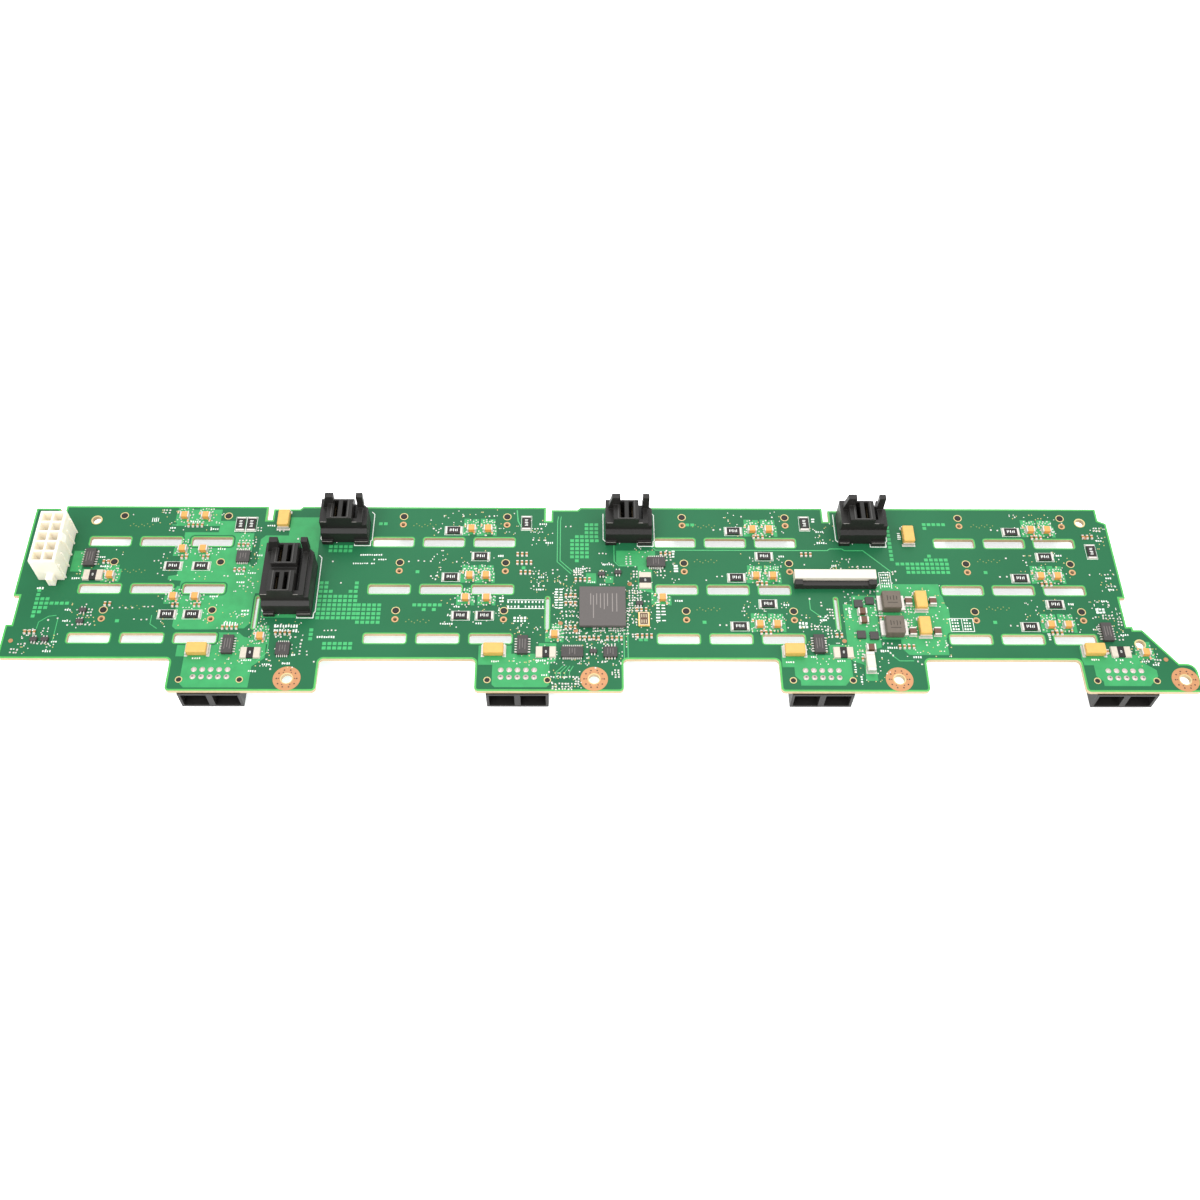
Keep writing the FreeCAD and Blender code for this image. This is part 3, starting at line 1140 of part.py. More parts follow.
def chips():
    """Controller chip on its solder balls, crystal, leaded chips and transistors."""
    x = column_x(1, "chip_offset")
    y = row_y(1, "0 - chip_drop")
    side = "main_chip_size"
    body = centred("controller_chip", x, y, f"{TOP} + ball_height", side, side, "main_chip_height")
    node(body, "controller_chip")
    pitch = size("ball_pitch")
    count = int((size(side) - 2 * size("ball_diameter")) / pitch) + 1
    ball = size("ball_diameter")
    start_x = size(x) - (count - 1) * pitch / 2 - ball / 2
    start_y = size(y) - (count - 1) * pitch / 2 - ball / 2
    balls = []
    for column in range(count):
        for row in range(count):
            corner = FreeCAD.Vector(start_x + column * pitch, start_y + row * pitch, size(TOP))
            balls.append(Part.makeBox(ball, ball, size("ball_height"), corner))
    solder = doc.addObject("Part::Feature", "controller_solder")
    solder.Shape = Part.makeCompound(balls)
    node(solder, "controller_solder")
    x = column_x(1, "crystal_offset")
    y = row_y(2, "crystal_rise")
    base = centred("crystal_base", x, y, TOP, "crystal_width", "crystal_length", "crystal_base_height")
    node(base, "crystal_base")
    rim = "2 * crystal_rim"
    lid_size = (f"crystal_width - {rim}", f"crystal_length - {rim}", "crystal_lid_height")
    lid = centred("crystal_lid", x, y, f"{TOP} + crystal_base_height", *lid_size)
    node(lid, "crystal_lid")
    for tag, spots, sizes, count, sides in (
        ("driver_chip", DRIVERS, ("driver_length", "driver_width", "driver_height"), 6, "x"),
        ("transistor", TRANSISTORS, ("transistor_width", "transistor_length", "transistor_height"), 2, "y"),
    ):
        bodies, leads = leaded(tag, spots, *sizes, count, sides)
        group(f"{tag}s", bodies)
        group(f"{tag}_leads", leads)
    logic_bodies = []
    logic_leads = []
    for tag, spots, length, width, count, pitch, lead in (
        ("square_chip", SQUARE_CHIPS, "square_chip", "square_chip", 6, "fine_pitch", "fine_lead"),
        ("narrow_chip", NARROW_CHIPS, "flat_chip_width", "narrow_chip_length", 4, "lead_pitch", "lead_width"),
        ("middle_chip", MIDDLE_CHIPS, "flat_chip_width", "middle_chip_length", 8, "fine_pitch", "fine_lead"),
        ("wide_chip", WIDE_CHIPS, "flat_chip_width", "wide_chip_length", 10, "fine_pitch", "fine_lead"),
    ):
        bodies, leads = leaded(tag, spots, length, width, "logic_height", count, "y", pitch, lead)
        logic_bodies += bodies
        logic_leads += leads
    group("logic_chips", logic_bodies)
    group("logic_chip_leads", logic_leads)
    switches = [
        centred(f"power_switch_{number}", column_x(spot[0], spot[2]), part_y(spot[1], spot[3]), TOP,
                "switch_size", "switch_size", "switch_height")
        for number, spot in enumerate(SWITCHES)
    ]
    group("power_switches", switches)
    cores = []
    terminals = []
    for number, (column, row, dx, dy) in enumerate(INDUCTORS):
        x = column_x(column, dx)
        y = part_y(row, dy)
        core_size = ("inductor_size", "inductor_depth", "inductor_height")
        cores.append(centred(f"inductor_{number}", x, y, TOP, *core_size))
        for sign in "+-":
            spot = f"{x} {sign} (inductor_size + inductor_lead) / 2"
            name = f"inductor_lead_{number}_{'right' if sign == '+' else 'left'}"
            lead_size = ("inductor_lead", "inductor_lead_width", "inductor_lead_height")
            terminals.append(centred(name, spot, y, TOP, *lead_size))
    group("inductors", cores)
    group("inductor_leads", terminals)


def write_parts():
    """Check every object and write one file for each sub-part."""
    doc.recompute()
    for item in doc.Objects:
        if "Invalid" in item.State or "Error" in item.State:
            raise RuntimeError(f"{item.Label} failed: {item.State}")
    os.makedirs("parts", exist_ok=True)
    for item in nodes:
        shape = item.Shape
        if shape.isNull() or not shape.isValid():
            raise RuntimeError(f"{item.Label} has no valid shape")
        shape.exportStep(f"parts/{item.Label}.step")
    print(len(nodes), "sub-parts")


circuit_board()
screw_pads()
drive_receptacles()
power_header()
for connector, (start_x, start_y) in DATA_CONNECTORS.items():
    data_connector(connector, start_x, start_y)
data_contacts()
ribbon_connector()
for tab_number in range(TABS):
    cable_header(tab_number)
chip_parts()
fuse()
chips()
write_parts()
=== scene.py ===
"""Looks of the drive backplane board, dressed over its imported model.

The tables hold places in millimetres in the shared frame: X along the board, Y away
from the tabs and Z up. Every surface is worked out as arrays, and each function says how.
"""

import bmesh
import bpy
import numpy as np
from mathutils import Matrix, Vector
from mathutils.geometry import delaunay_2d_cdt


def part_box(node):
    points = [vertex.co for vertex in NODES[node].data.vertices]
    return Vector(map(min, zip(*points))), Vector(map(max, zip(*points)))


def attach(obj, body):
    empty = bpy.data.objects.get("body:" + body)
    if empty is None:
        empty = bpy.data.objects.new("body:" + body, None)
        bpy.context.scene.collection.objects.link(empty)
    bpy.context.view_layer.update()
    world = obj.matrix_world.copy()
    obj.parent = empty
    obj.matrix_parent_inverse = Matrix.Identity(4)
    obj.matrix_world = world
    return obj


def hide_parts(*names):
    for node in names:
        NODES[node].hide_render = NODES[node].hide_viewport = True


bl_info = {
    "name": "Drive backplane board",
    "version": (1, 0, 0),
    "blender": (4, 5, 0),
    "location": "View3D > Sidebar > Board",
    "description": "Dresses the packed board with mask, copper, print, solder and moulded parts",
    "category": "Object",
}

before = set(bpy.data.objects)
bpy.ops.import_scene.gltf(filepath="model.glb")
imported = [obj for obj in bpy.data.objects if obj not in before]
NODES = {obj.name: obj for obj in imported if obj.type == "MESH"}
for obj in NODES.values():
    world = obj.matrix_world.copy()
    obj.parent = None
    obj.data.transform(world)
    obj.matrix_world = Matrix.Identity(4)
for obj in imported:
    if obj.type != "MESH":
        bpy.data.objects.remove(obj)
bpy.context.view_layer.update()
DATA_CONNECTORS = [f"data_connector_{place}" for place in ("left", "middle", "right", "double")]
HEADER_NUMBERS = range(1, 5)

MM = 0.001
# Sizes in millimetres: the board's upper face, the area above which a hole is a slot, the bare
# margin round poured copper, and the places of pegs, lined holes, header pins and ports.
TOP = 12.6
SLOT_AREA = 12
POUR_MARGIN = 1.0
PEG_SIDE = 19.875
PEG_INSET = 3.1
LINED_STEP = 3.8
TAB_PITCH = 109.5
PIN_INSET = 1.05
PORT_DEPTH = 13.9
PORT_FOOT = 1.1
PORT_FRONT = 1.8
PORT_PITCH = 12.1
# The stage: glow of the floor, lamps (name, place, size and power) and the fitted camera.
FLOOR_GLOW = 0.7
LAMPS = (
    ("key", (-0.5, -0.6, 1.1), 0.9, 9.0),
    ("fill", (0.9, -0.5, 0.9), 1.0, 5.0),
    ("back", (0.1, 1.0, 1.0), 1.2, 7.0),
)
CAMERA_LENS = 40.806
CAMERA_PLACE = (-0.00735, -0.276463, 0.435435)
CAMERA_RIGHT = (0.99988, -0.00637, 0.0141)
CAMERA_UP = (-0.002341, 0.838576, 0.54478)


# Materials


class Number:
    """A value that varies over a surface, so that shader maths can be written as sums."""

    def __init__(self, finish, socket):
        self.finish = finish
        self.socket = socket

    def maths(self, operation, *values):
        return self.finish.add("ShaderNodeMath", {"operation": operation}, dict(enumerate(values)))

    def __add__(self, other):
        return self.maths("ADD", self, other)

    def __sub__(self, other):
        return self.maths("SUBTRACT", self, other)

    def __rsub__(self, other):
        return self.maths("SUBTRACT", other, self)

    def __mul__(self, other):
        return self.maths("MULTIPLY", self, other)

    def __gt__(self, other):
        return self.maths("GREATER_THAN", self, other)

    def __abs__(self):
        return self.maths("ABSOLUTE", self)

    __radd__ = __add__
    __rmul__ = __mul__


class Finish:
    """One procedural material: the shader's own values and the nodes that vary them."""

    def __init__(self, name, roughness=0.5, metallic=0.0, coat=0.0):
        self.material = bpy.data.materials.new(name)
        self.material.use_nodes = True
        self.tree = self.material.node_tree
        self.shader = self.tree.nodes["Principled BSDF"]
        tuned(self.material, {"Roughness": roughness, "Metallic": metallic, "Coat Weight": coat})

    def add(self, kind, settings=None, inputs=None, output=0):
        """Add a node: its settings first, then the values or links of its sockets."""
        node = self.tree.nodes.new(kind)
        for name, value in (settings or {}).items():
            setattr(node, name, value)
        for name, value in (inputs or {}).items():
            self.feed(node.inputs[name], value)
        return Number(self, node.outputs[output])

    def feed(self, socket, value):
        """Link a value that varies, or set one that is the same all over."""
        if isinstance(value, Number):
            self.tree.links.new(value.socket, socket)
        else:
            socket.default_value = value

    def place(self):
        """The point on the piece, in metres from its origin."""
        return self.add("ShaderNodeTexCoord", output="Object")

    def grain(self, scale, detail=2.0):
        """Cloudy grain with this many features a metre."""
        inputs = {"Vector": self.place(), "Scale": scale, "Detail": detail}
        return self.add("ShaderNodeTexNoise", {}, inputs)

    def mix(self, factor, first, second):
        """Colour between two others."""
        return self.add("ShaderNodeMix", {"data_type": "RGBA"}, {0: factor, 6: first, 7: second}, output=2)

    def colour(self, value):
        self.feed(self.shader.inputs["Base Color"], value)

    def rough(self, value):
        self.feed(self.shader.inputs["Roughness"], value)

    def bump(self, height, strength, distance):
        """Small relief, height times distance in metres."""
        inputs = {"Height": height, "Strength": strength, "Distance": distance}
        self.feed(self.shader.inputs["Normal"], self.add("ShaderNodeBump", {}, inputs))


def rgba(colour):
    return (*colour, 1.0)


def shade(colour, factor):
    return tuple(min(1.0, part * factor) for part in colour)


def tuned(material, values):
    """Set the shader's own values by the names of their sockets."""
    for name, value in values.items():
        material.node_tree.nodes["Principled BSDF"].inputs[name].default_value = value
    return material


def matt(material, gloss):
    """Lower how strongly a finish mirrors the pale studio."""
    return tuned(material, {"Specular IOR Level": gloss})


# Lets light pass a few millimetres into a pale plastic, and adds a faint painted glow that lightens its
# shaded cells.
MILKY_WITH_PAINTED_GLOW = {
    "Subsurface Weight": 0.45, "Subsurface Radius": (1.0, 0.85, 0.6), "Subsurface Scale": 0.003,
    "Emission Color": (1.0, 0.93, 0.80, 1.0), "Emission Strength": 0.1,
}


def grained(name, colour, roughness, metallic=0.0, spread=0.12, scale=900.0, relief=0.2, coat=0.0):
    """Plain finish whose colour, gloss and relief follow one cloudy grain."""
    finish = Finish(name, roughness, metallic, coat)
    grain = finish.grain(scale, 3.0)
    finish.colour(finish.mix(grain, rgba(shade(colour, 1 - spread)), rgba(shade(colour, 1 + spread))))
    finish.rough(grain * 0.16 + (roughness - 0.08))
    finish.bump(grain, relief, 0.00004)
    return finish.material


def laminate(name, mask, edge):
    """Green mask over glass cloth, with the tan laminate bare on the upright edges."""
    finish = Finish(name, 0.35)
    cloud = finish.grain(26.0, 2.0)
    fine = finish.grain(700.0, 2.0)
    green = finish.mix(cloud, rgba(shade(mask, 0.78)), rgba(shade(mask, 1.2)))
    normal = finish.add("ShaderNodeNewGeometry", output="Normal")
    upright = abs(finish.add("ShaderNodeSeparateXYZ", {}, {0: normal}, output="Z"))
    tan = finish.mix(fine, rgba(shade(edge, 0.8)), rgba(shade(edge, 1.15)))
    finish.colour(finish.mix(upright > 0.5, tan, green))
    finish.rough(fine * 0.14 + 0.3)
    along, across = (
        finish.add("ShaderNodeTexWave", {"bands_direction": axis}, {"Vector": finish.place(), "Scale": 420.0})
        for axis in "XY"
    )
    finish.bump(along * 0.5 + across * 0.5, 0.05, 0.00003)
    return finish.material


# Surfaces


class Pile:
    """Points and faces of many closed shapes that make one piece."""

    def __init__(self):
        self.points = []
        self.faces = []
        self.count = 0

    def put(self, points, faces):
        points = np.asarray(points, float)
        self.faces += [tuple(int(corner) + self.count for corner in face) for face in faces]
        self.points.append(points)
        self.count += len(points)

    def piece(self, name, material, slot="", body="board"):
        """Make the mesh piece, with its origin at the world's, riding on a body."""
        mesh = bpy.data.meshes.new(name)
        mesh.from_pydata(np.concatenate(self.points) * MM, [], self.faces)
        mesh.update()
        mesh.materials.append(material)
        item = bpy.data.objects.new(name, mesh)
        bpy.context.scene.collection.objects.link(item)
        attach(item, body)


BRICK = np.array([[x, y, z] for z in (0, 1) for y in (-0.5, 0.5) for x in (-0.5, 0.5)])
BRICK_FACES = ((0, 2, 3, 1), (4, 5, 7, 6), (0, 1, 5, 4), (2, 6, 7, 3), (0, 4, 6, 2), (1, 3, 7, 5))


def bricks(pile, places, sizes, low, high):
    """Flat boxes: corner = place + size times a half either way, between two heights."""
    places = np.atleast_2d(places)
    sizes = np.broadcast_to(sizes, places.shape)
    points = np.empty((len(places), 8, 3))
    points[:, :, :2] = places[:, None] + sizes[:, None] * BRICK[None, :, :2]
    points[:, :, 2] = low + (high - low) * BRICK[None, :, 2]
    numbers = np.arange(len(places))[:, None, None] * 8 + np.array(BRICK_FACES)[None]
    pile.put(points.reshape(-1, 3), numbers.reshape(-1, 4))


def slab(pile, loop, low, high):
    """Plate with a closed outline: its outline at two heights, joined by upright sides."""
    loop = np.asarray(loop, float)
    if turning(loop) < 0:
        loop = loop[::-1]
    count = len(loop)
    steps = np.arange(count)
    points = np.concatenate([np.c_[loop, np.full(count, low)], np.c_[loop, np.full(count, high)]])
    sides = np.c_[steps, (steps + 1) % count, (steps + 1) % count + count, steps + count]
    pile.put(points, [tuple(steps[::-1]), tuple(steps + count)] + [tuple(side) for side in sides])


def turning(loop):
    """Twice the area inside an outline, above nought when it runs anticlockwise."""
    following = np.roll(loop, -1, axis=0)
    return float(np.sum(loop[:, 0] * following[:, 1] - following[:, 0] * loop[:, 1]))


def area(loop):
    return abs(turning(loop)) / 2


def beside(path, distance, closed):
    """Line beside a path: each point moves along the sum of its neighbours' left normals."""
    path = np.asarray(path, float)
    ahead = np.roll(path, -1, axis=0) - path
    if not closed:
        ahead[-1] = ahead[-2]
    ahead /= np.linalg.norm(ahead, axis=1, keepdims=True)
    left = np.c_[-ahead[:, 1], ahead[:, 0]]
    before = np.roll(left, 1, axis=0)
    if not closed:
        before[0] = left[0]
    corner = left + before
    return path + corner * distance / np.maximum(0.5, (corner * corner).sum(1) / 2)[:, None]


def line(pile, path, width, low, high):
    """Flat line of even width along a path."""
    right, left = (beside(path, side * width / 2, False) for side in (-1, 1))
    slab(pile, np.concatenate([right, left[::-1]]), low, high)


def band(pile, loop, width, low, high):
    """Band of even width inside an outline, closed on itself."""
    count = len(loop)
    inner = beside(loop, width, True)
    rows = [np.c_[ring, np.full(count, z)] for z in (low, high) for ring in (loop, inner)]
    a, b, c, d = (np.arange(count) + count * step for step in range(4))
    turn = [np.roll(ring, -1) for ring in (a, b, c, d)]
    faces = [
        np.c_[c, turn[2], turn[3], d],
        np.c_[a, b, turn[1], turn[0]],
        np.c_[a, turn[0], turn[2], c],
        np.c_[b, d, turn[3], turn[1]],
    ]
    pile.put(np.concatenate(rows), np.concatenate(faces))


def circle(x, y, radius, steps=20):
    """Points on a circle: place + radius times cosine and sine."""
    turn = np.linspace(0, 2 * np.pi, steps, endpoint=False)
    return np.c_[x + radius * np.cos(turn), y + radius * np.sin(turn)]


def rings(pile, places, inner, outer, low, high, steps=20):
    """Flat rings round the places, or discs where there is no inner radius."""
    for x, y in np.atleast_2d(places):
        if inner:
            band(pile, circle(x, y, outer, steps), outer - inner, low, high)
        else:
            slab(pile, circle(x, y, outer, steps), low, high)


def welded(node):
    """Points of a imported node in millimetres, each kept once, and its triangles by those points."""
    mesh = NODES[node].data
    corners = np.array([vertex.co for vertex in mesh.vertices]) / MM
    points, first = np.unique(np.round(corners, 3), axis=0, return_inverse=True)
    return points, first.ravel()[np.array([tuple(face.vertices) for face in mesh.polygons])]


def loops_on_top(node, height):
    """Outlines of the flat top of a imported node: edges of its top faces used only once, chained.

    Each runs with the board on its left."""
    points, faces = welded(node)
    flat = faces[(abs(points[faces][:, :, 2] - height) < 0.01).all(1)]
    steps = [(int(start), int(end)) for face in flat for start, end in zip(face, np.roll(face, -1))]
    used = set(steps)
    edges = {start: end for start, end in steps if (end, start) not in used}
    loops = []
    while edges:
        start, here = edges.popitem()
        ring = [start]
        while here != start and here in edges:
            ring.append(here)
            here = edges.pop(here)
        loops.append(points[ring][:, :2])
    return loops


BOARD_LOOPS = loops_on_top("circuit_board", TOP)


def inside(points, loop):
    """Which points lie inside an outline: an odd number of its sides passes each on the right."""
    x, y = points[:, 0][:, None], points[:, 1][:, None]
    x0, y0 = loop[:, 0][None], loop[:, 1][None]
    x1, y1 = np.roll(x0, -1), np.roll(y0, -1)
    crosses = (y0 > y) != (y1 > y)
    slope = np.where(y1 == y0, 1.0, y1 - y0)
    return (crosses & (x < x0 + (y - y0) * (x1 - x0) / slope)).sum(1) % 2 == 1


def on_board(spots, room):
    """Which places lie on the board, this far clear of its outline and holes."""
    clear = np.ones(len(spots), bool)
    for loop in BOARD_LOOPS:
        clear &= inside(spots, beside(loop, room, True)) == (turning(loop) > 0)
    return clear


def sheet_with_holes(pile, outlines, holes, limit, low, high):
    """Plate that covers every outline and no hole within a limit: all are cut into triangles,
    those inside are kept, and their free edges become upright sides."""
    points, edges = [], []
    outlines = [np.asarray(loop, float) for loop in outlines]
    for loop in [*outlines, *holes, limit]:
        start = len(points)
        points += [Vector(point) for point in loop]
        edges += [(start + step, start + (step + 1) % len(loop)) for step in range(len(loop))]
    made, _, faces, _, _, _ = delaunay_2d_cdt(points, edges, [], 0, 1e-5)
    made = np.array([tuple(point) for point in made])
    faces = np.array([tuple(face) for face in faces])
    middle = made[faces].mean(1)
    keep = np.zeros(len(faces), bool)
    for loop in outlines:
        keep |= inside(middle, loop)
    for loop in holes:
        keep &= ~inside(middle, loop)
    faces = faces[keep & inside(middle, limit)]
    used, faces = np.unique(faces, return_inverse=True)
    faces = faces.reshape(-1, 3)
    made = made[used]
    flat = np.cross(made[faces[:, 1]] - made[faces[:, 0]], made[faces[:, 2]] - made[faces[:, 0]]) < 0
    faces[flat] = faces[flat][:, ::-1]
    pairs = {(int(a), int(b)) for face in faces for a, b in zip(face, np.roll(face, -1))}
    free = [pair for pair in pairs if (pair[1], pair[0]) not in pairs]
    count = len(made)
    sides = [(a, b, b + count, a + count) for a, b in free]
    stacked = np.concatenate([np.c_[made, np.full(count, low)], np.c_[made, np.full(count, high)]])
    pile.put(stacked, [tuple(face[::-1]) for face in faces] + [tuple(face + count) for face in faces] + sides)


def solids_of(node):
    """Lowest and highest corner, in millimetres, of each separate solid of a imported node.

    Points of one face share the smallest number among them, until nothing changes."""
    points, faces = welded(node)
    label = np.arange(len(points))
    while True:
        lowest = label[faces].min(1)
        fresh = label.copy()
        for corner in range(3):
            np.minimum.at(fresh, faces[:, corner], lowest)
        if (fresh == label).all():
            break
        label = fresh
    found = [points[label == number] for number in np.unique(label)]
    return np.array([(part.min(0), part.max(0)) for part in found])


def middles(node):
    """Middle of each solid's foot."""
    return solids_of(node).mean(1)[:, :2]


def corners_of(node):
    """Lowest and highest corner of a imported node, in millimetres."""
    return np.array([tuple(corner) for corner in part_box(node)]) / MM


def around(low, upper, grow):
    """Outline of a box seen from above, grown along each axis."""
    (left, front), (right, back) = low[:2] - grow, upper[:2] + grow
    return np.array([(left, front), (right, front), (right, back), (left, back)])


def turned(low, upper, pair):
    """Measures along and across a part as X and Y, swapped where it lies along Y."""
    size = upper - low
    return np.array(pair)[::-1] if size[1] > size[0] else np.array(pair)


def stroke(pile, node, high, sink=0.0, turn=False):
    """Plain strokes of the table on the top of each solid of a node."""
    for low, upper in solids_of(node):
        for x, y, wide, long in STROKES[node]:
            place, size = (x, y), (wide, long)
            if turn:
                place, size = turned(low, upper, place), turned(low, upper, size)
            bricks(pile, (low + upper)[:2] / 2 + place, size, upper[2] - sink, upper[2] + high)


def moulded(node, width, material, segments=2, body="board", flatten=True):
    """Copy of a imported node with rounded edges, which stands for it."""
    mesh = NODES[node].data.copy()
    shape = bmesh.new()
    shape.from_mesh(mesh)
    bmesh.ops.remove_doubles(shape, verts=shape.verts, dist=0.002 * MM)
    if flatten:
        bmesh.ops.dissolve_limit(shape, angle_limit=0.02, verts=shape.verts, edges=shape.edges)
    bmesh.ops.recalc_face_normals(shape, faces=shape.faces)
    shape.to_mesh(mesh)
    shape.free()
    mesh.materials.clear()
    mesh.materials.append(material)
    item = bpy.data.objects.new(node + "_moulded", mesh)
    bpy.context.scene.collection.objects.link(item)
    bevel = item.modifiers.new("Rounded edges", "BEVEL")
    bevel.width = width * MM
    bevel.segments = segments
    bevel.limit_method = "ANGLE"
    bevel.angle_limit = 0.6
    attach(item, body)
    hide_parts(node)


def paint(nodes, material):
    """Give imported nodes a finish."""
    for node in nodes:
        mesh = NODES[node].data
        mesh.materials.clear()
        mesh.materials.append(material)


# Places read from the photograph, in millimetres

POURS = [
    # right part of the first drive column and the ground under the double connector
    [(-157.5, 28.6), (-144.8, 28.6), (-144.8, 34), (-138.8, 34), (-138.8, 28.4), (-131.2, 28.2),
     (-131.2, 14.2), (-129.8, 12.6), (-128.4, 14.2), (-128.4, 25.4), (-126.6, 27.2), (-118, 27.2),
     (-118, 35.8), (-106.2, 35.8), (-106, -9.8), (-123.8, -9.8), (-124.4, -3), (-124.6, 0.9), (-127.4, 0.9),
     (-127.6, -12.2), (-129.4, -14.4), (-142.4, -14.9), (-154.2, -14.9), (-155.6, -13.6), (-155.6, 6.4),
     (-160.6, 6.8), (-160.6, 8.4), (-157.5, 9)],
    [(-161.4, 31.6), (-144.8, 31.6), (-144.8, 39.4), (-161.4, 39.4)],
    [(-197.6, 10.4), (-193.4, 10.4), (-193.4, 19.8), (-197.6, 19.8)],
    [(-193, 6.9), (-178.4, 6.9), (-178.4, 11.6), (-193, 11.6)],
    # panels on the four tabs
    [(-152.4, -21.4), (-138.9, -21.4), (-138.9, -16.2), (-131, -16.2), (-129, -18), (-120.6, -20),
     (-120.4, -27), (-124.6, -30.4), (-124.9, -39.1), (-147.6, -39.1), (-149.3, -37.4), (-149.3, -26.3),
     (-152.4, -26.3)],
    [(-43.7, -21.5), (-31.8, -21.5), (-31.8, -25), (-22, -25), (-22, -20.5), (-15.6, -20.5), (-15.6, -27.6),
     (-18, -29.4), (-18, -37.8), (-19, -38.8), (-37.4, -38.8), (-38.5, -37.7), (-38.5, -29.6),
     (-43.7, -29.6)],
    [(65.9, -21.5), (75.2, -21.5), (75.2, -25.4), (83.6, -25.4), (83.6, -21), (91, -21), (91, -34.6),
     (88, -38), (72, -38), (72, -36), (70.2, -34), (70.2, -30.4), (65.9, -30.4)],
    [(175, -20.8), (184.8, -20.8), (184.8, -25), (195.8, -25), (195.8, -27.4), (201.2, -31.4), (201.2, -34),
     (197.6, -38), (181, -38), (181, -36), (178.8, -34), (178.8, -29.4), (175, -29.4)],
    # power supply
    [(103.4, 5.6), (127.2, 5.6), (128.6, -3.6), (129.6, -5), (129.6, -16.4), (127, -18), (127, -25.2),
     (112.5, -25.2), (110.2, -22.6), (110.2, -18.6), (103.4, -18.6)],
    [(90.4, -3.4), (94, -3.4), (94, 0.4), (102.8, 0.4), (102.8, -22), (99.9, -23), (99.9, -36), (95.6, -36),
     (95.6, -29.4), (91.6, -27.8), (90.4, -24)],
    # beside the controller chip
    [(6.6, 20.6), (21.4, 20.6), (21.4, 13), (20, 12.4), (20, 2.4), (25.8, 0.4), (25.8, -3.6), (19.4, -3.6),
     (19.4, 1.6), (14.6, 2.8), (14.6, 13.4), (8.4, 13.4), (6.6, 15.2)],
    [(-4.8, 5.6), (-1, 5.6), (-1, 10.2), (-4.8, 10.2)],
    [(2.4, 5.8), (5.4, 5.8), (5.4, 8.8), (2.4, 8.8)],
]
# Rows of small light squares: first place, columns and rows.
DOT_ROWS = [
    (-103.3, -9.8, 8, 6), (-103.3, 1.8, 3), (-103.3, 3.7, 2, 2), (-92.2, 1.8, 2), (-90.2, 3.7, 1, 2),
    (-88.6, -11.7, 5, 5), (-99.6, -22.7, 6, 2), (-104.9, -18.8, 1, 3), (-101.5, 20.2, 5, 2),
    (-83.5, 32.9, 2), (-68.2, -4.1, 6), (-64.6, -6.1), (-60.9, -6.1), (-4.6, 27.1, 3, 4), (-8.3, 27.1, 2),
    (-10.1, 25.2, 6), (-10.1, 17.7, 4, 4), (-8.3, 15.9), (-68, 10.7), (-28.3, 12.6), (34.2, 32.8, 2),
    (38.7, -11.4), (15.1, -18.9, 2), (111.2, 16.9, 1, 9), (113.1, 14.8, 11), (116.8, 11, 9, 2),
    (124.2, 16.7, 5), (125.6, 18.5), (125.6, 33.3, 5), (125.6, 31.5), (-207, -3.7, 7), (-207, -5.6, 3),
    (-207, -1.8, 3), (-207, 0.1, 1, 2), (-207, -7.5, 2), (-207, -9.3), (-176, -11.3), (146, 11),
    (146, -11.2),
]
DOT_PITCH = 1.88
# Bright lines under the mask: width and path.
TRACES = [
    (0.3, [(-15.4, 36.6), (-15.7, 34.4), (-15.7, 15.4), (-10.5, 10)]),
    (0.3, [(-14.3, 36.6), (-14.6, 34.4), (-14.6, 15.9), (-9.9, 11)]),
    (0.35, [(5.8, 23), (5.8, 15.6), (7.6, 13.6), (14, 13.6)]),
    (0.35, [(20.2, 22.4), (21.6, 20.9), (87, 20.9), (88, 21.7), (92.6, 21.7), (93.6, 20.9), (100.6, 20.9),
            (110.6, 10.8)]),
    (0.3, [(78.2, -1.2), (78.2, -5.7), (82.6, -9.6)]),
    (0.3, [(105.4, -23.8), (106.4, -25.6), (108.6, -27.7), (113.8, -27.7)]),
    (0.25, [(-204.5, -14.8), (-204.3, -11.9), (-201.2, -9.4), (-198.4, -9)]),
    (0.25, [(-197.6, -10.4), (-197.6, -21)]),
    (0.25, [(-163.8, -8.8), (-163.8, -12.6), (-161, -14.6)]),
    (0.3, [(-119.8, -20.8), (-119.8, -24.6), (-123.2, -28.4)]),
    (0.3, [(-160.8, 32), (-163, 32)]),
    (0.45, [(-31.4, 39.6), (-30.9, 34.4), (-29.6, 31.6)]),
    (0.3, [(7, -20), (7, -14.8)]), (0.3, [(9, -27), (9, -14.8)]), (0.3, [(10.4, -27), (10.4, -14.8)]),
    (0.25, [(-13, -30), (-15.6, -32.6), (-15.6, -35.4)]), (0.25, [(-11.8, -30), (-14, -32.6), (-14, -35.4)]),
    (0.25, [(-10.6, -30), (-12.4, -32.6), (-12.4, -35.4)]),
    (0.25, [(-9.4, -30), (-10.8, -32.6), (-10.8, -35.4)]),
]
# Print: lines beside the connectors, from the connector's corner.
PORT_PRINT = [
    [(-0.8, 13.8), (-0.8, 1.6), (0.5, 0.3)],
    [(5.4, -0.3), (5.4, 0.5), (12.2, 0.5), (12.2, -1.5), (18.2, -1.5), (18.2, 0.6), (18.7, 1.2), (18.7, 13.2),
     (17.6, 14.4)],
]
PRINT_LINES = [
    (0.3, [(73.8, 5.4), (74.8, 4.4), (103.8, 4.4), (105.2, 5.8)]),
    (0.22, [(105.4, 3.6), (105.4, 10.8), (109.6, 10.8), (109.6, 3.6)]),
    (0.22, [(129.2, -15.2), (129.2, -9.6), (137.8, -9.6), (137.8, -15.2), (129.2, -15.2)]),
    (0.2, [(133.6, -15.2), (133.6, -9.6)]),
    (0.25, [(-34, -1.8), (-20.2, -1.8)]), (0.25, [(-34, -5.6), (-20.2, -5.6)]),
]
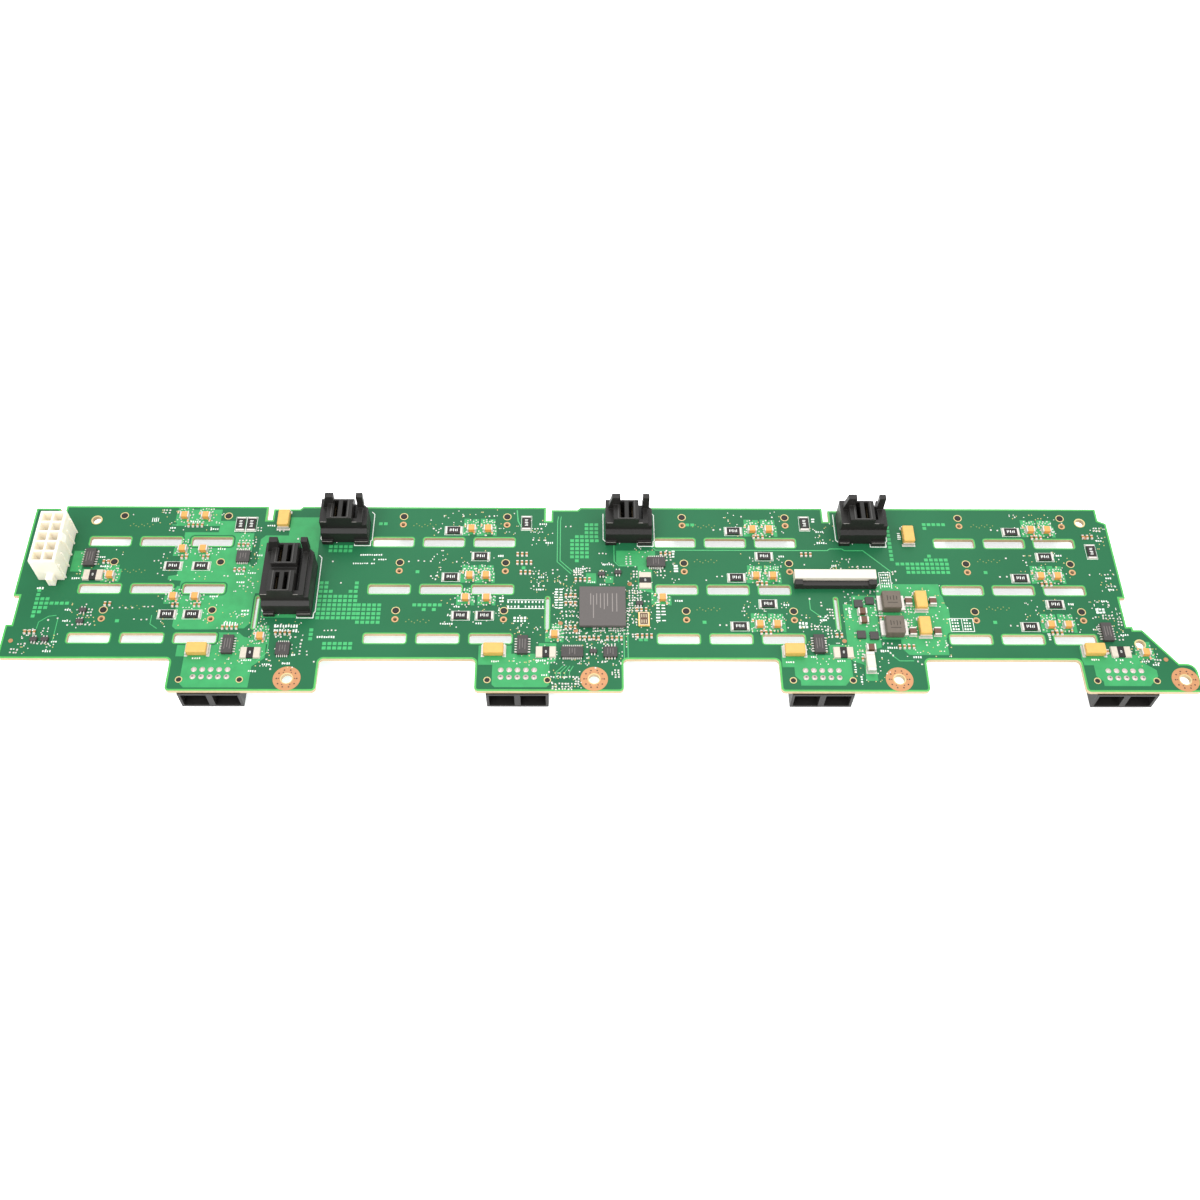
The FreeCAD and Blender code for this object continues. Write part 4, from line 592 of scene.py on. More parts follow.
# Print: ticks in rows, like part names too small to read. First place, columns, length and width of
# a tick, pitch, rows and their pitch, as tick_rows() takes them.
TICKS = [
    (85.4, 4.9, 14, 0.8), (106.2, 4.6, 4, 0.8, 0.5, 0.85, 5, 1.3),
    (130.2, -14.2, 3, 0.7, 0.6, 0.95, 4, 1.3), (134.6, -14.2, 3, 0.7, 0.6, 0.95, 4, 1.3),
    (-118.2, -15.4, 9, 1.3, 0.6, 0.98), (-118.2, -13.4, 9, 1.3, 0.6, 0.98),
    (-33.6, -4.8, 11, 0.9, 0.6, 1.28), (-33.6, -2.7, 11, 0.9, 0.6, 1.28),
    (-15.8, -5.2, 2, 0.55, 1.3, 1.7, 8, 1.15), (21.8, -10.8, 2, 0.6, 1.5, 2, 7, 1.35),
    (-207.8, 2.9, 3, 0.9, 0.6, 0.9), (-89.8, 18.3, 10, 0.7, 0.55, 0.85), (-84.6, 16.2, 6, 0.6, 0.55, 0.85),
    (-92.2, 14.4, 10, 0.6, 0.55, 0.85), (-102.4, -18.1, 8, 0.8, 0.55, 0.85),
    (-170.9, 34.4, 4, 2.3, 0.35, 0.75), (-163.4, 30.6), (-156, 33.6, 5, 0.8), (-147.8, 30.1), (-196, 7.3),
    (-186.4, 12.7), (-187.4, 17, 3), (-195.6, -6.6, 3), (-195.6, -11.4, 3), (-207.2, -15.5),
    (-200, -24.3, 4, 0.8), (-197.8, -20.3, 3), (-136.8, -12.6, 5, 1.9, 0.45, 1),
    (-131, -8.4, 3, 0.7, 0.7, 1, 2, 1.6), (-131, 9.9), (-135.4, 9.4), (-134.6, 5.7), (-128.6, 17.9, 3),
    (-126.4, 31.8), (-143.8, 20.8), (-143.6, -0.6), (-125.4, -32.4), (-110.6, -25.6, 3),
    (-113.6, -29.2, 4, 0.8), (-120.8, -29.6), (-146, -27.1), (-128.4, -27.9, 5), (-37.8, 18, 3, 0.9),
    (-22.4, 32.9, 4, 0.8), (-20, 24.1, 4, 0.8), (-23.2, 8.3, 4, 0.8), (-23.2, 2.8, 4, 0.8), (-55.6, -8.7),
    (-58, -12.3, 6), (-45, -12.1), (-52, -2.3, 3), (-53.4, -4.9, 3), (-37, -6.3, 3),
    (-36.6, -2.4, 2, 0.7, 0.7, 0.9, 2, 1.4), (-31, -11, 4, 0.9, 0.8, 1.25, 2, 1.3), (-22.8, -27.8, 5),
    (-38.8, -28.2), (-20.6, -33.9, 3), (-8.4, 12.2, 5, 0.8), (1.6, 14.2, 5), (0.6, 5.1, 3),
    (-4, 6.1, 4, 0.6), (28.3, 17.9, 1, 0.7, 1.1, 1, 3, 1.2), (29, 11.2, 1, 0.7, 1.5, 1, 3, 1.2),
    (28.4, -2.1), (68.4, 18.1, 3, 0.9), (68.6, -3.8, 3, 0.9), (82.8, 34.4, 1, 0.7, 1.1, 1, 2, 1.2),
    (83.6, 29.6, 4, 0.8), (83.6, 24.4, 4, 0.8), (88.2, 13.9, 3, 0.8, 0.4, 0.7),
    (73.8, -13.4, 3, 1.2, 0.9, 1.2, 2, 1.6), (81.6, -10.4, 3, 0.8, 0.7, 1, 2, 1.5), (102.4, -23.6, 4, 0.9),
    (105, -22.2, 5, 0.8), (99.4, -31.4, 1, 0.4, 0.9, 1, 3, 0.8), (92.2, -32.4, 1, 0.6, 0.8, 1, 4),
    (94, -36.4, 1, 0.6, 0.8, 1, 3), (86.2, -27.8), (76.8, -26.2), (67.6, -28.4, 5), (114, -26.2, 4, 0.8),
    (115.2, 26.3, 1, 0.45, 1.2, 1, 4, 0.9), (92.6, -9.2, 1, 0.5, 0.9, 1, 6, 0.8), (174, 30.1, 3, 0.8),
    (174.4, 18.8, 3, 0.8), (174.8, -3.2, 3, 0.8), (191.2, 25.8, 3), (191.2, 8.5, 3), (191.2, 3.3, 3),
    (187.4, -1.8, 3, 0.8, 0.6, 0.9), (184.8, -6.8, 3, 0.9, 0.9, 1.2, 2, 1.3), (191.6, -16.6),
    (187.4, -27.3), (196.8, -27.8), (178.6, -27.1), (165, -18.6, 1, 0.45, 1, 1, 4, 0.8),
    (200.6, -29.2, 3, 0.8, 0.6, 0.9), (181.8, -14.3, 3),
]
# Bare solder places: first place, columns and their pitch, rows and their pitch.
PADS = [
    (-178.6, 36.8), (-167.3, 39, 3, 1.2), (-166.4, 37.7, 2, 1.5), (-163.4, 29.3, 2, 1.3),
    (-165.6, 18.3, 2, 1.6), (-166.8, 15.4, 2, 1.3), (-164.4, 14.2), (-164.8, 9.4, 1, 1, 2, 2),
    (-178.6, -5.7, 4, 2.4), (-167, -5.2, 3, 1.4), (-169.8, -10.7, 2, 2.5), (-165.2, -10.7), (-188.4, -4.1),
    (-187.2, -9, 2, 1.2, 3, 1.3), (-189.6, -12.9, 4, 1.3), (-193.6, -13.1, 2, 1.6),
    (-208.8, -18.9, 1, 1, 3, 1.2), (-211.6, -24.8, 3, 1.1, 2, 1.2), (-209.6, -21.2, 3, 1.2),
    (-204, -21, 3, 1.3), (-200.2, -21, 2, 1.3), (-201.8, -17.2, 1, 1, 3, 1.3), (-201, -11.2),
    (-197.7, -10.3), (-135, 4, 3, 1.5), (-130.4, 3.6, 2, 1.7, 3, 1.6), (-134.8, 1.8), (-139.8, 8.6, 2, 1.2),
    (-136.4, 11.6, 4, 1.2), (-136.6, 20.8, 5, 1.1), (-136.4, 23.4, 5, 1.3, 2, 1.4),
    (-130.2, 22.4, 1, 1, 3, 1.5), (-130, 29.4, 2, 1.2, 2, 1.4), (-125.6, 23.2), (-114.2, 25.6),
    (-121.6, 29.2, 3, 1.3), (-117.4, -18.2, 5, 1.8), (-108, -25.4, 1, 1, 5, 1.5), (-119.6, -27.4),
    (-117.6, -31.4, 1, 1, 2, 1.2), (-107.8, -17.4), (-105.4, -25.6, 1, 1, 2, 1.4), (-102.6, -28.4),
    (-100, -15.2, 4, 1.3), (-96, 5.6), (-100, 15.2), (-71.4, 15.4), (-68, 15.6, 2, 2.2), (-63.4, 15.4),
    (-63, 30.6), (-61.2, 28.7), (-60.4, 30.7), (-62.8, 8.8, 2, 2.3), (-61, 7.2), (-53.6, 15.2),
    (-51.8, 36.8), (-36.8, 36.7), (-42, 36.6, 2, 1.9), (-24.4, 30.6, 3, 1.2), (-25, 25.4, 3, 2.3),
    (-24.4, 10, 3, 1.9), (-22.4, 11.4), (-24.4, 4.4, 3, 2), (-22.6, 5.4), (-17.4, 10.2, 1, 1, 2, 1.4),
    (-15.4, 11.7), (-12.4, 31.8, 2, 1.9), (-14.6, 6.1), (0.2, 19.2, 3, 1.3), (-9.2, 9.6, 4, 0.8, 3, 0.9),
    (-6, 9.2, 1, 1, 4, 1.3), (-4.6, 11.2, 2, 1.1, 2, 1.2), (-12, 2.6, 3, 1.6), (-12.6, -0.4, 4, 1.4),
    (-12.6, -2.6, 4, 1.4), (-9.6, -4.4, 2, 1.4), (-13.6, -7, 4, 1.5), (-13.4, -8.8, 5, 1.3),
    (-12.2, -11.6, 4, 1.4), (-16.4, -14.9, 5, 1.2), (-14.4, -17.9, 9, 1.2, 2, 1.7),
    (-2.2, -15.2, 14, 0.82, 3, 0.95), (-3, -19.2, 8, 1.25), (1.8, -20.9, 5, 1.25), (9, -16.4, 1, 1, 8, 1.4),
    (10.5, -16.4, 1, 1, 8, 1.4), (12.2, -18.8, 2, 1.1, 3), (-4.4, -26.8, 1, 1, 5, 1.5),
    (-0.4, -28.4, 3, 1.3), (-3.6, -31, 2, 2.2), (4.6, -34.6, 3, 1.1, 4, 0.95), (-17.4, -34.6, 9, 1.15),
    (-16.8, -39.6, 7, 1.15, 3, 1.1), (-8.6, -37.4, 2, 1.1, 3), (-18.6, -28.6, 3, 1.2, 2, 1.4),
    (-18, -32.6, 2, 1.4), (11.2, 5.2), (11.4, -6.4, 5, 1, 9, 1.1), (12.8, 3.4, 2, 1.3, 2, 1.2),
    (15.6, -2.4, 3, 1.3), (11, -8.6, 1, 1, 4, 1.6), (12.3, -11.6, 2, 1.2, 2, 1.3),
    (10.4, 14.4, 1, 1, 4, 1.2), (12, 14.4, 1, 1, 4, 1.2), (13, 8.6, 3, 1.2, 3, 1.2),
    (25.8, 16.2, 2, 1.3, 3, 1.4), (25.6, 20.6), (17, 11.4), (23.2, 11.4, 2, 1.5), (22, 9.4, 3, 1.4, 2, 1.4),
    (16.6, 17.6), (26.2, 4.6), (30, 7.4), (44.2, 30.4), (46.6, 30.6), (44.2, 8.9, 2, 2.2), (44.2, -12.8),
    (46.8, -12.8), (53.6, -8.4, 1, 1, 3, 1.7), (55.2, -4.6, 1, 1, 2, 2.3), (40.2, 7.3), (67.2, 36.6),
    (55, 36.8), (77.6, 14.3), (76.4, -9.4), (82.4, -4.2, 1, 1, 2, 1.6), (78, -14.4, 6, 1.2, 2, 1.3),
    (84.4, -9.6, 3, 1, 4, 1.3), (83.8, -17.6, 3, 1.3, 3, 1.3), (78.2, -1.2), (88.4, -16.8, 1, 1, 2, 1.6),
    (92.4, 16.9, 3, 1.3), (95.8, 13.4, 2, 2), (100, 13.4, 3, 1.2), (92.8, 1.1), (94.8, -0.8),
    (98.6, 2.4, 5, 1.4), (110.8, 10.2, 2, 1, 2), (102.4, -8.4, 3, 1.1, 5, 1.2), (98.2, -13, 3, 1.3),
    (91.4, -5.6, 1, 1, 8, 2.6), (93.8, -26.4, 2, 1.6, 3, 1.3), (103.6, -20.4, 3, 1.5), (105.6, -24.4),
    (106.6, -25.6), (113.4, -6.8, 3, 1.1, 4, 1.2), (112.6, -12.6, 3, 1.2, 3, 1.2),
    (124.6, -9.4, 1, 1, 2, 1.3), (115, -28), (116.4, -29.2), (112.8, -20.6, 1, 1, 2, 1.2),
    (119.4, -21, 1, 1, 2, 1.2), (123.4, -21, 1, 1, 2, 1.2), (126.6, -21.4, 1, 1, 2, 1.2), (151.2, 30.8),
    (153.6, 30.6), (154.8, 17.4), (151.2, 9, 2, 2.4), (151.6, -12.6, 2, 2.4), (185.2, 10.1),
    (191, 30.4, 3, 1.2, 2, 1.2), (191, 27, 3, 1.2), (191.2, 10.2, 4, 1.1), (191.4, 4.8, 3, 1.2),
    (183.6, -9), (186.4, -9.4, 4, 1.2, 2, 1.3), (189.6, -3.6, 1, 1, 2, 1.3), (191.6, -12.2, 3, 1.2, 3, 1.3),
    (190.6, -18.6, 2, 1.3, 2, 1.3), (161.6, 36.9), (162, 15.6), (162, -5.8), (193.8, -23.8),
    (201.4, -28.4, 3, 1.1, 2, 1.2),
]
# Crowded areas of tiny pads and holes: middle, length, width and how many.
SPECKS = [
    (-152.4, 34.4, 17.6, 10.5, 26), (-165.2, 35.3, 6.1, 8.6, 10), (-187, 15.6, 15.7, 18.3, 30),
    (-153.5, 14.6, 20.9, 16, 40), (-131.7, 14.9, 10.1, 27.4, 50), (-150.8, -6.5, 24.5, 15.7, 46),
    (-189.4, -8.8, 12, 11.3, 26), (-202.4, -19.8, 15.1, 10.6, 34), (-129.8, -18.3, 17, 23.4, 80),
    (-116.2, -21.1, 14.4, 20.3, 50), (-47.8, 33.6, 33.8, 11.9, 50), (-50.4, 13.8, 26.3, 13.7, 56),
    (-46.1, -6.3, 25, 15.7, 56), (-25.2, -19.2, 14.5, 21.3, 70), (-21.8, 29, 8.8, 11.8, 24),
    (-22.4, 7.1, 6.7, 11.7, 26), (-12.2, -2.9, 10.4, 24.3, 90), (-8.8, -21.9, 18.1, 15.7, 80),
    (-12.3, -36.2, 12.1, 9, 40), (19.3, 13.4, 18.9, 16.9, 50), (3.3, 10.1, 5.6, 10.4, 18),
    (16.1, -5, 12.9, 19.8, 60), (5.3, -22.3, 10.2, 14.8, 50), (59.8, 33.4, 24.3, 13.4, 36),
    (61.8, 13, 17, 14.2, 46), (61.5, -9, 17.7, 13.1, 46), (86.1, 29.4, 9.6, 11.8, 20),
    (93.1, 13.8, 11.4, 5.5, 20), (82.3, -18.9, 18.3, 21.4, 80), (97.4, -7, 13, 19.7, 40),
    (97.6, -26.3, 13.8, 23.1, 50), (109.3, 7.1, 7.5, 8.1, 16), (169.2, 33.3, 20.2, 9.6, 36),
    (169.1, 13.6, 19, 13.8, 46), (167.8, -8.3, 20.5, 14, 46), (192.4, 27, 7, 10.9, 20),
    (191.5, 7.3, 5.7, 10, 18), (189.4, -8.9, 14.2, 15.3, 60), (120, -11.3, 18.5, 32.6, 90),
    (194.9, -26.1, 17.5, 10.5, 30),
]
SPECK_PITCH = 0.55
TINNED_SHARE = 0.62
# Copper patch, small pads and small parts round a ceramic capacitor, from its middle.
CERAMIC_PATCH = [
    (-3.4, -2.8), (-0.6, -2.8), (-0.6, -2.2), (2, -2.2), (2, -2.9), (3.3, -2.9), (3.3, 1.8), (2.6, 2.4),
    (2.6, 5), (0.3, 5), (0.3, 4.3), (-0.7, 4.3), (-0.7, 5.2), (-3, 5.2), (-3, 2.6), (-3.4, 2.2),
]
CERAMIC_PADS = [
    (-1.9, 0.5), (-2, -0.7), (1.9, 0.6), (-1.2, 2.4), (-0.2, 2.5), (0.8, 2.3), (-0.6, 3.6), (0.5, 3.7),
    (1.5, 3.4), (-1.9, 3.3), (2.2, 2.1), (-2.6, 2.7), (-1.7, 4.4), (-0.5, 4.6), (1.4, 4.5), (2.4, 3.4),
    (2.8, 0.9), (2.7, -0.6), (-2.9, 1.4), (-2.8, -1.6), (-1.1, -2.5), (0.1, -2.7), (2.3, -1.9),
]
CERAMIC_NEIGHBOURS = [(-2.6, 1.6), (1.3, -2.0)]
# Plain strokes on parts, from the middle of each: place, width and length.
STROKES = {
    "power_resistors": [(-1.35, 0, 0.24, 1.2), (-0.8, 0.12, 0.24, 0.9), (-0.1, 0, 0.3, 1.25),
                        (0.7, -0.1, 0.24, 1), (1.3, 0, 0.24, 1.2)],
    "sense_strips": [(0, 0.42, 0.55, 0.16), (0, -0.42, 0.55, 0.16), (0.2, 0, 0.14, 0.9),
                     (-0.2, 0, 0.14, 0.9)],
    "driver_chips": [(-0.95, 0, 0.28, 4.4), (0, 0.3, 0.28, 3.7), (0.95, 0, 0.28, 4.4)],
    "logic_chips": [(-0.95, 0, 0.25, 2.6), (0, 0.3, 0.25, 1.9), (0.95, 0, 0.25, 2.6)],
    "inductors": [(-1.7, 0.4, 0.3, 2.2), (-0.6, 0.4, 0.3, 1.5), (0.6, 0.4, 0.3, 2.2), (1.7, 0.4, 0.3, 1.6),
                  (0, -1.6, 3.8, 0.28)],
    # On the crystal's lid the pale strokes are painted reflections of the studio light.
    "crystal_lid": [(x, y, 0.28, 1.5) for x in (-0.8, 0, 0.8) for y in (1.2, -1.2)],
}
# Strokes on the controller from its corner: place, middle and length.
CONTROLLER_MARKS = [(4.2, 11.5, 5), (5.2, 8.2, 10), (6.4, 11.5, 5), (7.8, 10.8, 6.4), (9.2, 10.5, 7),
                    (10.4, 11.2, 5.6), (12.2, 10, 8), (13.8, 10, 8)]
# Raised ribs on a port's top, lighter than the black plastic as a painted highlight, and pale strips that are
# painted highlights along the front edges of a data connector's feet and towers: place, size and height.
PORT_RIBS = [((4.7, 4.5), (0.45, 8.6), 0.25), ((10.9, 4.5), (0.45, 8.6), 0.25),
             ((7.85, 0.35), (5.8, 0.4), 0.2)]
PORT_EDGE_HIGHLIGHTS = [((2.1, -0.98), (3.6, 0.16), 1.86), ((14.9, -0.98), (4.8, 0.16), 1.86),
              ((1.6, 1.86), (2.2, 0.12), 10.46), ((12.9, 1.86), (2.2, 0.12), 10.46)]
# How far solder reaches past the ends of parts.
SOLDER_REACH = {
    "power_resistor_ends": 0.12, "ceramic_capacitor_ends": 0.12, "sense_strip_ends": 0.12,
    "filter_capacitor_ends": 0.2, "tantalum_capacitor_feet": 0.35, "fuse_ends": 0.25,
}
TAB_HOLES = [(-149.65, -35.9), (-128.15, -35.9)]
TOOLING_HOLES = [(-192.05, 34.2), (186.25, 34.2), (197.65, -20.6)]
ROUND_MARKS = [
    (-212.6, -19.9), (11.5, 5.4), (-8.6, -15.2), (-14.2, -12), (186.7, 27.2),
    (205.6, -27), (89.4, -19.4),
]
# Zigzag rows of the receptacles' soldered contacts: their middles, and the contacts from there.
CONTACT_ROWS = [
    (-174.6, 31.6), (-174, 10.5), (-66.6, 32), (40.4, 31.9), (40.4, 15.6), (40.4, -6), (148, 32.3), (148, 16),
    (148, -5.4), (-66.6, -11.4), (-172, -5.6),
]
ZIGZAG = np.c_[(np.arange(9) - 4) * 1.05, [0, 0.9, 0, -0.5, 0.6, 0, 0.9, -0.4, 0.5]]


def grid(x, y, columns=1, pitch_x=1, rows=1, pitch_y=1):
    """Places in rows and columns from the lower left one."""
    spots = np.stack(np.meshgrid(np.arange(columns), np.arange(rows)), -1).reshape(-1, 2)
    return (x, y) + spots * (pitch_x, pitch_y)


def dots(x, y, columns=1, rows=1):
    """Places of light squares."""
    return grid(x, y, columns, DOT_PITCH, rows, DOT_PITCH)


def scatter(pile, draws, spots, size, shift, missing, room, high):
    """Flat boxes a little off their places and sizes, a share of them missing, clear of the edges."""
    kept = draws.random(len(spots)) > missing
    spots = spots + draws.uniform(-shift, shift, spots.shape)
    sizes = np.array(size) * draws.uniform(0.72, 1.12, spots.shape)
    if kept.any():
        spots, sizes = spots[kept], sizes[kept]
    clear = on_board(spots, room)
    bricks(pile, spots[clear], sizes[clear], TOP, high)


def tick_rows(pile, draws, high, x, y, columns=4, tall=0.7, wide=0.5, pitch_x=0.8, rows=1, pitch_y=1):
    """Rows of printed ticks."""
    scatter(pile, draws, grid(x, y, columns, pitch_x, rows, pitch_y), (wide, tall), 0.06, 0.04, 0.4, high)


# Settings


def colour_property(name, description, default):
    return bpy.props.FloatVectorProperty(
        name=name, description=description, subtype="COLOR", size=3, min=0, max=1, default=default
    )


def length_property(name, description, default):
    return bpy.props.FloatProperty(name=name, description=description, unit="LENGTH", min=0, default=default)


class BoardColours(bpy.types.PropertyGroup):
    mask: colour_property("Mask", "Green mask over bare laminate", (0.013, 0.128, 0.050))
    pour: colour_property("Copper under mask", "Lighter green over copper", (0.040, 0.315, 0.104))
    rim: colour_property("Rim", "Bright rim along the cut edges", (0.060, 0.400, 0.075))
    # The rim colour is painted light: the copper-free margin lit through from behind.
    edge: colour_property("Laminate", "Bare laminate on the cut edges", (0.520, 0.400, 0.240))
    print_white: colour_property("Print", "White printed lines", (0.800, 0.830, 0.780))
    copper: colour_property("Copper", "Bare copper round the screw holes", (0.510, 0.245, 0.108))
    gold: colour_property("Gold", "Plated contacts and the crystal's frame", (0.850, 0.560, 0.200))
    tin: colour_property("Tin", "Solder and tinned leads", (0.640, 0.600, 0.560))
    black: colour_property("Black plastic", "Connectors", (0.016, 0.015, 0.014))
    white: colour_property("White plastic", "Power header and flat cable connector", (0.830, 0.770, 0.650))
    chip: colour_property("Chip package", "Moulded chips", (0.045, 0.040, 0.038))
    epoxy: colour_property("Yellow epoxy", "Tantalum capacitors", (0.680, 0.400, 0.094))
    ceramic: colour_property("Tan ceramic", "Ceramic capacitors", (0.740, 0.330, 0.080))
    brown: colour_property("Brown ceramic", "Filter capacitors", (0.120, 0.050, 0.025))
    ferrite: colour_property("Pressed powder", "Inductors", (0.130, 0.105, 0.080))
    floor: colour_property("Floor", "Plain floor", (0.900, 0.900, 0.900))


class BoardSizes(bpy.types.PropertyGroup):
    film: length_property("Film", "Thickness of copper under the mask", 0.00003)
    print_height: length_property("Print height", "Top of the print above the board", 0.00008)
    solder: length_property("Solder height", "Top of the bare solder places above the board", 0.00012)
    # The rims these widths size are painted light shining through the laminate's edge.
    rim: length_property("Rim", "Width of the bright rim along the outline", 0.0007)
    slot_rim: length_property("Slot rim", "Width of the bright rim round slots and slits", 0.00045)
    edge: length_property("Moulded edge", "Rounding of the connectors' edges", 0.00018)


def settings():
    scene = bpy.context.scene
    return scene.board_colours, scene.board_sizes


# Pieces


class BOARD_OT_laminate(bpy.types.Operator):
    """Green laminate with bright rims of painted light along its outline, slots and slits, where light shines
    through the copper-free margin
    """

    bl_idname = "board.laminate"
    bl_label = "Laminate"

    def execute(self, context):
        colours, sizes = settings()
        paint(["circuit_board"], matt(laminate("green mask", colours.mask, colours.edge), 0.2))
        # Bright bands along the outline and round slots and slits are painted light: light shining through
        # the thin copper-free margin.
        rims = Pile()
        for loop in BOARD_LOOPS:
            if area(loop) > SLOT_AREA:
                width = sizes.rim if turning(loop) > 0 else sizes.slot_rim
                band(rims, loop, width / MM, TOP, TOP + 0.012)
        bright = grained("bright rim", colours.rim, 0.35, spread=0.25, scale=300)
        rims.piece("painted_backlit_rims", bright, "green_laminate")
        return {"FINISHED"}


class BOARD_OT_copper(bpy.types.Operator):
    """Copper under the mask: poured areas, squares, lines and the patches under small parts"""

    bl_idname = "board.copper"
    bl_label = "Copper"

    def execute(self, context):
        colours, sizes = settings()
        film = sizes.film / MM
        patches = [place + CERAMIC_PATCH for place in middles("ceramic_capacitors")]
        for low, upper in solids_of("power_resistors"):
            patches.append(around(low, upper, turned(low, upper, (1.1, 0.1))))
        holes = [beside(loop, POUR_MARGIN if area(loop) > SLOT_AREA else 0.0, True)
                 for loop in BOARD_LOOPS if turning(loop) < 0 and area(loop) > 1]
        limit = beside(max(BOARD_LOOPS, key=turning), POUR_MARGIN, True)
        pours = Pile()
        sheet_with_holes(pours, POURS + patches, holes, limit, TOP, TOP + film)
        squares = Pile()
        for spot in DOT_ROWS:
            bricks(squares, dots(*spot), (1.4, 1.3), TOP, TOP + film)
        for pile, name, factor in ((pours, "copper_pours", 1), (squares, "copper_squares", 1.3)):
            green = shade(colours.pour, factor)
            finish = matt(grained(name.replace("_", " "), green, 0.35, spread=0.22, scale=240), 0.25)
            pile.piece(name, finish, "green_laminate")
        lines = Pile()
        for width, path in TRACES:
            line(lines, path, width, TOP, TOP + film * 1.2)
        bright = grained("bright copper line", shade(colours.pour, 1.3), 0.3, scale=300)
        lines.piece("copper_lines", bright, "green_laminate")
        return {"FINISHED"}


class BOARD_OT_solder(bpy.types.Operator):
    """Bare solder places, rings of the holes, contact rows and round marks"""

    bl_idname = "board.solder"
    bl_label = "Solder"

    def execute(self, context):
        colours, sizes = settings()
        high = TOP + sizes.solder / MM
        draws = np.random.default_rng(11)
        pads = Pile()
        for spot in PADS:
            scatter(pads, draws, grid(*spot), (0.6, 0.62), 0.16, 0.07, 0.4, high)
        for place in middles("ceramic_capacitors"):
            scatter(pads, draws, place + CERAMIC_PADS, (0.48, 0.56), 0.2, 0.12, 0.5, high)
        for node, reach in SOLDER_REACH.items():
            boxes = solids_of(node)[:, :, :2]
            bricks(pads, boxes.mean(1), boxes[:, 1] - boxes[:, 0] + 2 * reach, TOP, high - 0.03)
        tin = grained("solder", colours.tin, 0.35, metallic=0.35, spread=0.1, scale=1400)
        pads.piece("solder_places", tin, "tinned_metal")

        draws = np.random.default_rng(14)
        spots = [(x, y) + draws.uniform(-0.5, 0.5, (many, 2)) * (length, width)
                 for x, y, length, width, many in SPECKS]
        spots = np.unique(np.round(np.concatenate(spots) / SPECK_PITCH), axis=0) * SPECK_PITCH
        spots = spots[on_board(spots, 0.7)]
        squares = draws.uniform(0.26, 0.46, spots.shape)
        tinned = draws.random(len(spots)) < TINNED_SHARE
        for name, chosen, colour, slot in (
            ("fine_solder", tinned, shade(colours.tin, 1.25), "tinned_metal"),
            ("fine_gold", ~tinned, (0.62, 0.50, 0.22), "gold_contacts"),
        ):
            specks = Pile()
            bricks(specks, spots[chosen], squares[chosen], TOP, high - 0.02)
            specks.piece(name, grained(name.replace("_", " "), colour, 0.4, metallic=0.1, scale=1400), slot)

        ends = Pile()
        for number in HEADER_NUMBERS:
            boxes = solids_of(f"cable_header_pins_{number}")
            spots = np.c_[boxes[:, :, 0].mean(1), boxes[:, 1, 1] - PIN_INSET]
            near = spots[:, 1] < spots[:, 1].mean()
            rings(ends, spots[near], 0, 0.4, TOP + 0.5, TOP + 0.515, 12)
        ends.piece("pin_ends", grained("pin end", (0.16, 0.14, 0.12), 0.5), "tinned_metal")

        pegs = []
        for node in NODES:
            if node.startswith("drive_receptacle"):
                low, upper = corners_of(node)
                middle = (low + upper)[0] / 2
                pegs += [(middle + side, upper[1] - PEG_INSET) for side in (-PEG_SIDE, PEG_SIDE)]
        contacts = Pile()
        for spot in CONTACT_ROWS:
            bricks(contacts, spot + ZIGZAG, (0.4, 0.4), TOP, high - 0.06)
        masked = grained("masked contact", (0.20, 0.26, 0.07), 0.45, scale=900)
        contacts.piece("masked_contacts", masked, "gold_contacts")
        tan = Pile()
        rings(tan, pegs, 1.28, 1.6, TOP, high)
        rings(tan, middles("screw_pads"), 1.9, 2.3, TOP, TOP + 0.09, 32)
        rings(tan, TOOLING_HOLES, 1.62, 2.1, TOP, high, 28)
        for x, y in TAB_HOLES:
            rings(tan, [(x + TAB_PITCH * tab, y) for tab in range(4)], 0.98, 1.3, TOP, high)
        plated = grained("plated rim", (0.62, 0.50, 0.24), 0.4, metallic=0.3, scale=900)
        tan.piece("plated_rims", plated, "gold_contacts")
        lined = Pile()
        rings(lined, [(x, y - LINED_STEP) for x, y in pegs if x > -130 or y < 0], 0.76, 1.3, TOP, high)
        copper = grained("copper rim", (0.56, 0.32, 0.15), 0.4, metallic=0.25, scale=900)
        lined.piece("copper_rims", copper, "copper")
        marks = Pile()
        rings(marks, ROUND_MARKS, 0, 0.85, TOP, high)
        dull = grained("dull copper", shade(colours.copper, 0.78), 0.5, metallic=0.1, scale=900)
        marks.piece("round_marks", dull, "copper")
        return {"FINISHED"}


class BOARD_OT_print(bpy.types.Operator):
    """White print: connector outlines, boxes round parts and ticks like small part names"""

    bl_idname = "board.print"
    bl_label = "Print"

    def execute(self, context):
        colours, sizes = settings()
        high = TOP + sizes.print_height / MM
        pile = Pile()
        for node in DATA_CONNECTORS:
            low, upper = corners_of(node)
            for path in PORT_PRINT:
                path = np.array(path, float)
                path[path[:, 1] > 5, 1] += (upper - low)[1] - PORT_DEPTH
                line(pile, low[:2] + (0, PORT_FOOT) + path, 0.32, TOP, high)
        for width, path in PRINT_LINES:
            line(pile, path, width, TOP, high)
        draws = np.random.default_rng(12)
        for spot in TICKS:
            tick_rows(pile, draws, high, *spot)
        for low, upper in solids_of("power_resistors"):
            band(pile, around(low, upper, turned(low, upper, (1.05, 0.45))), 0.12, TOP, high)
        pile.piece("white_print", grained("white print", colours.print_white, 0.6, spread=0.06, scale=700))
        return {"FINISHED"}


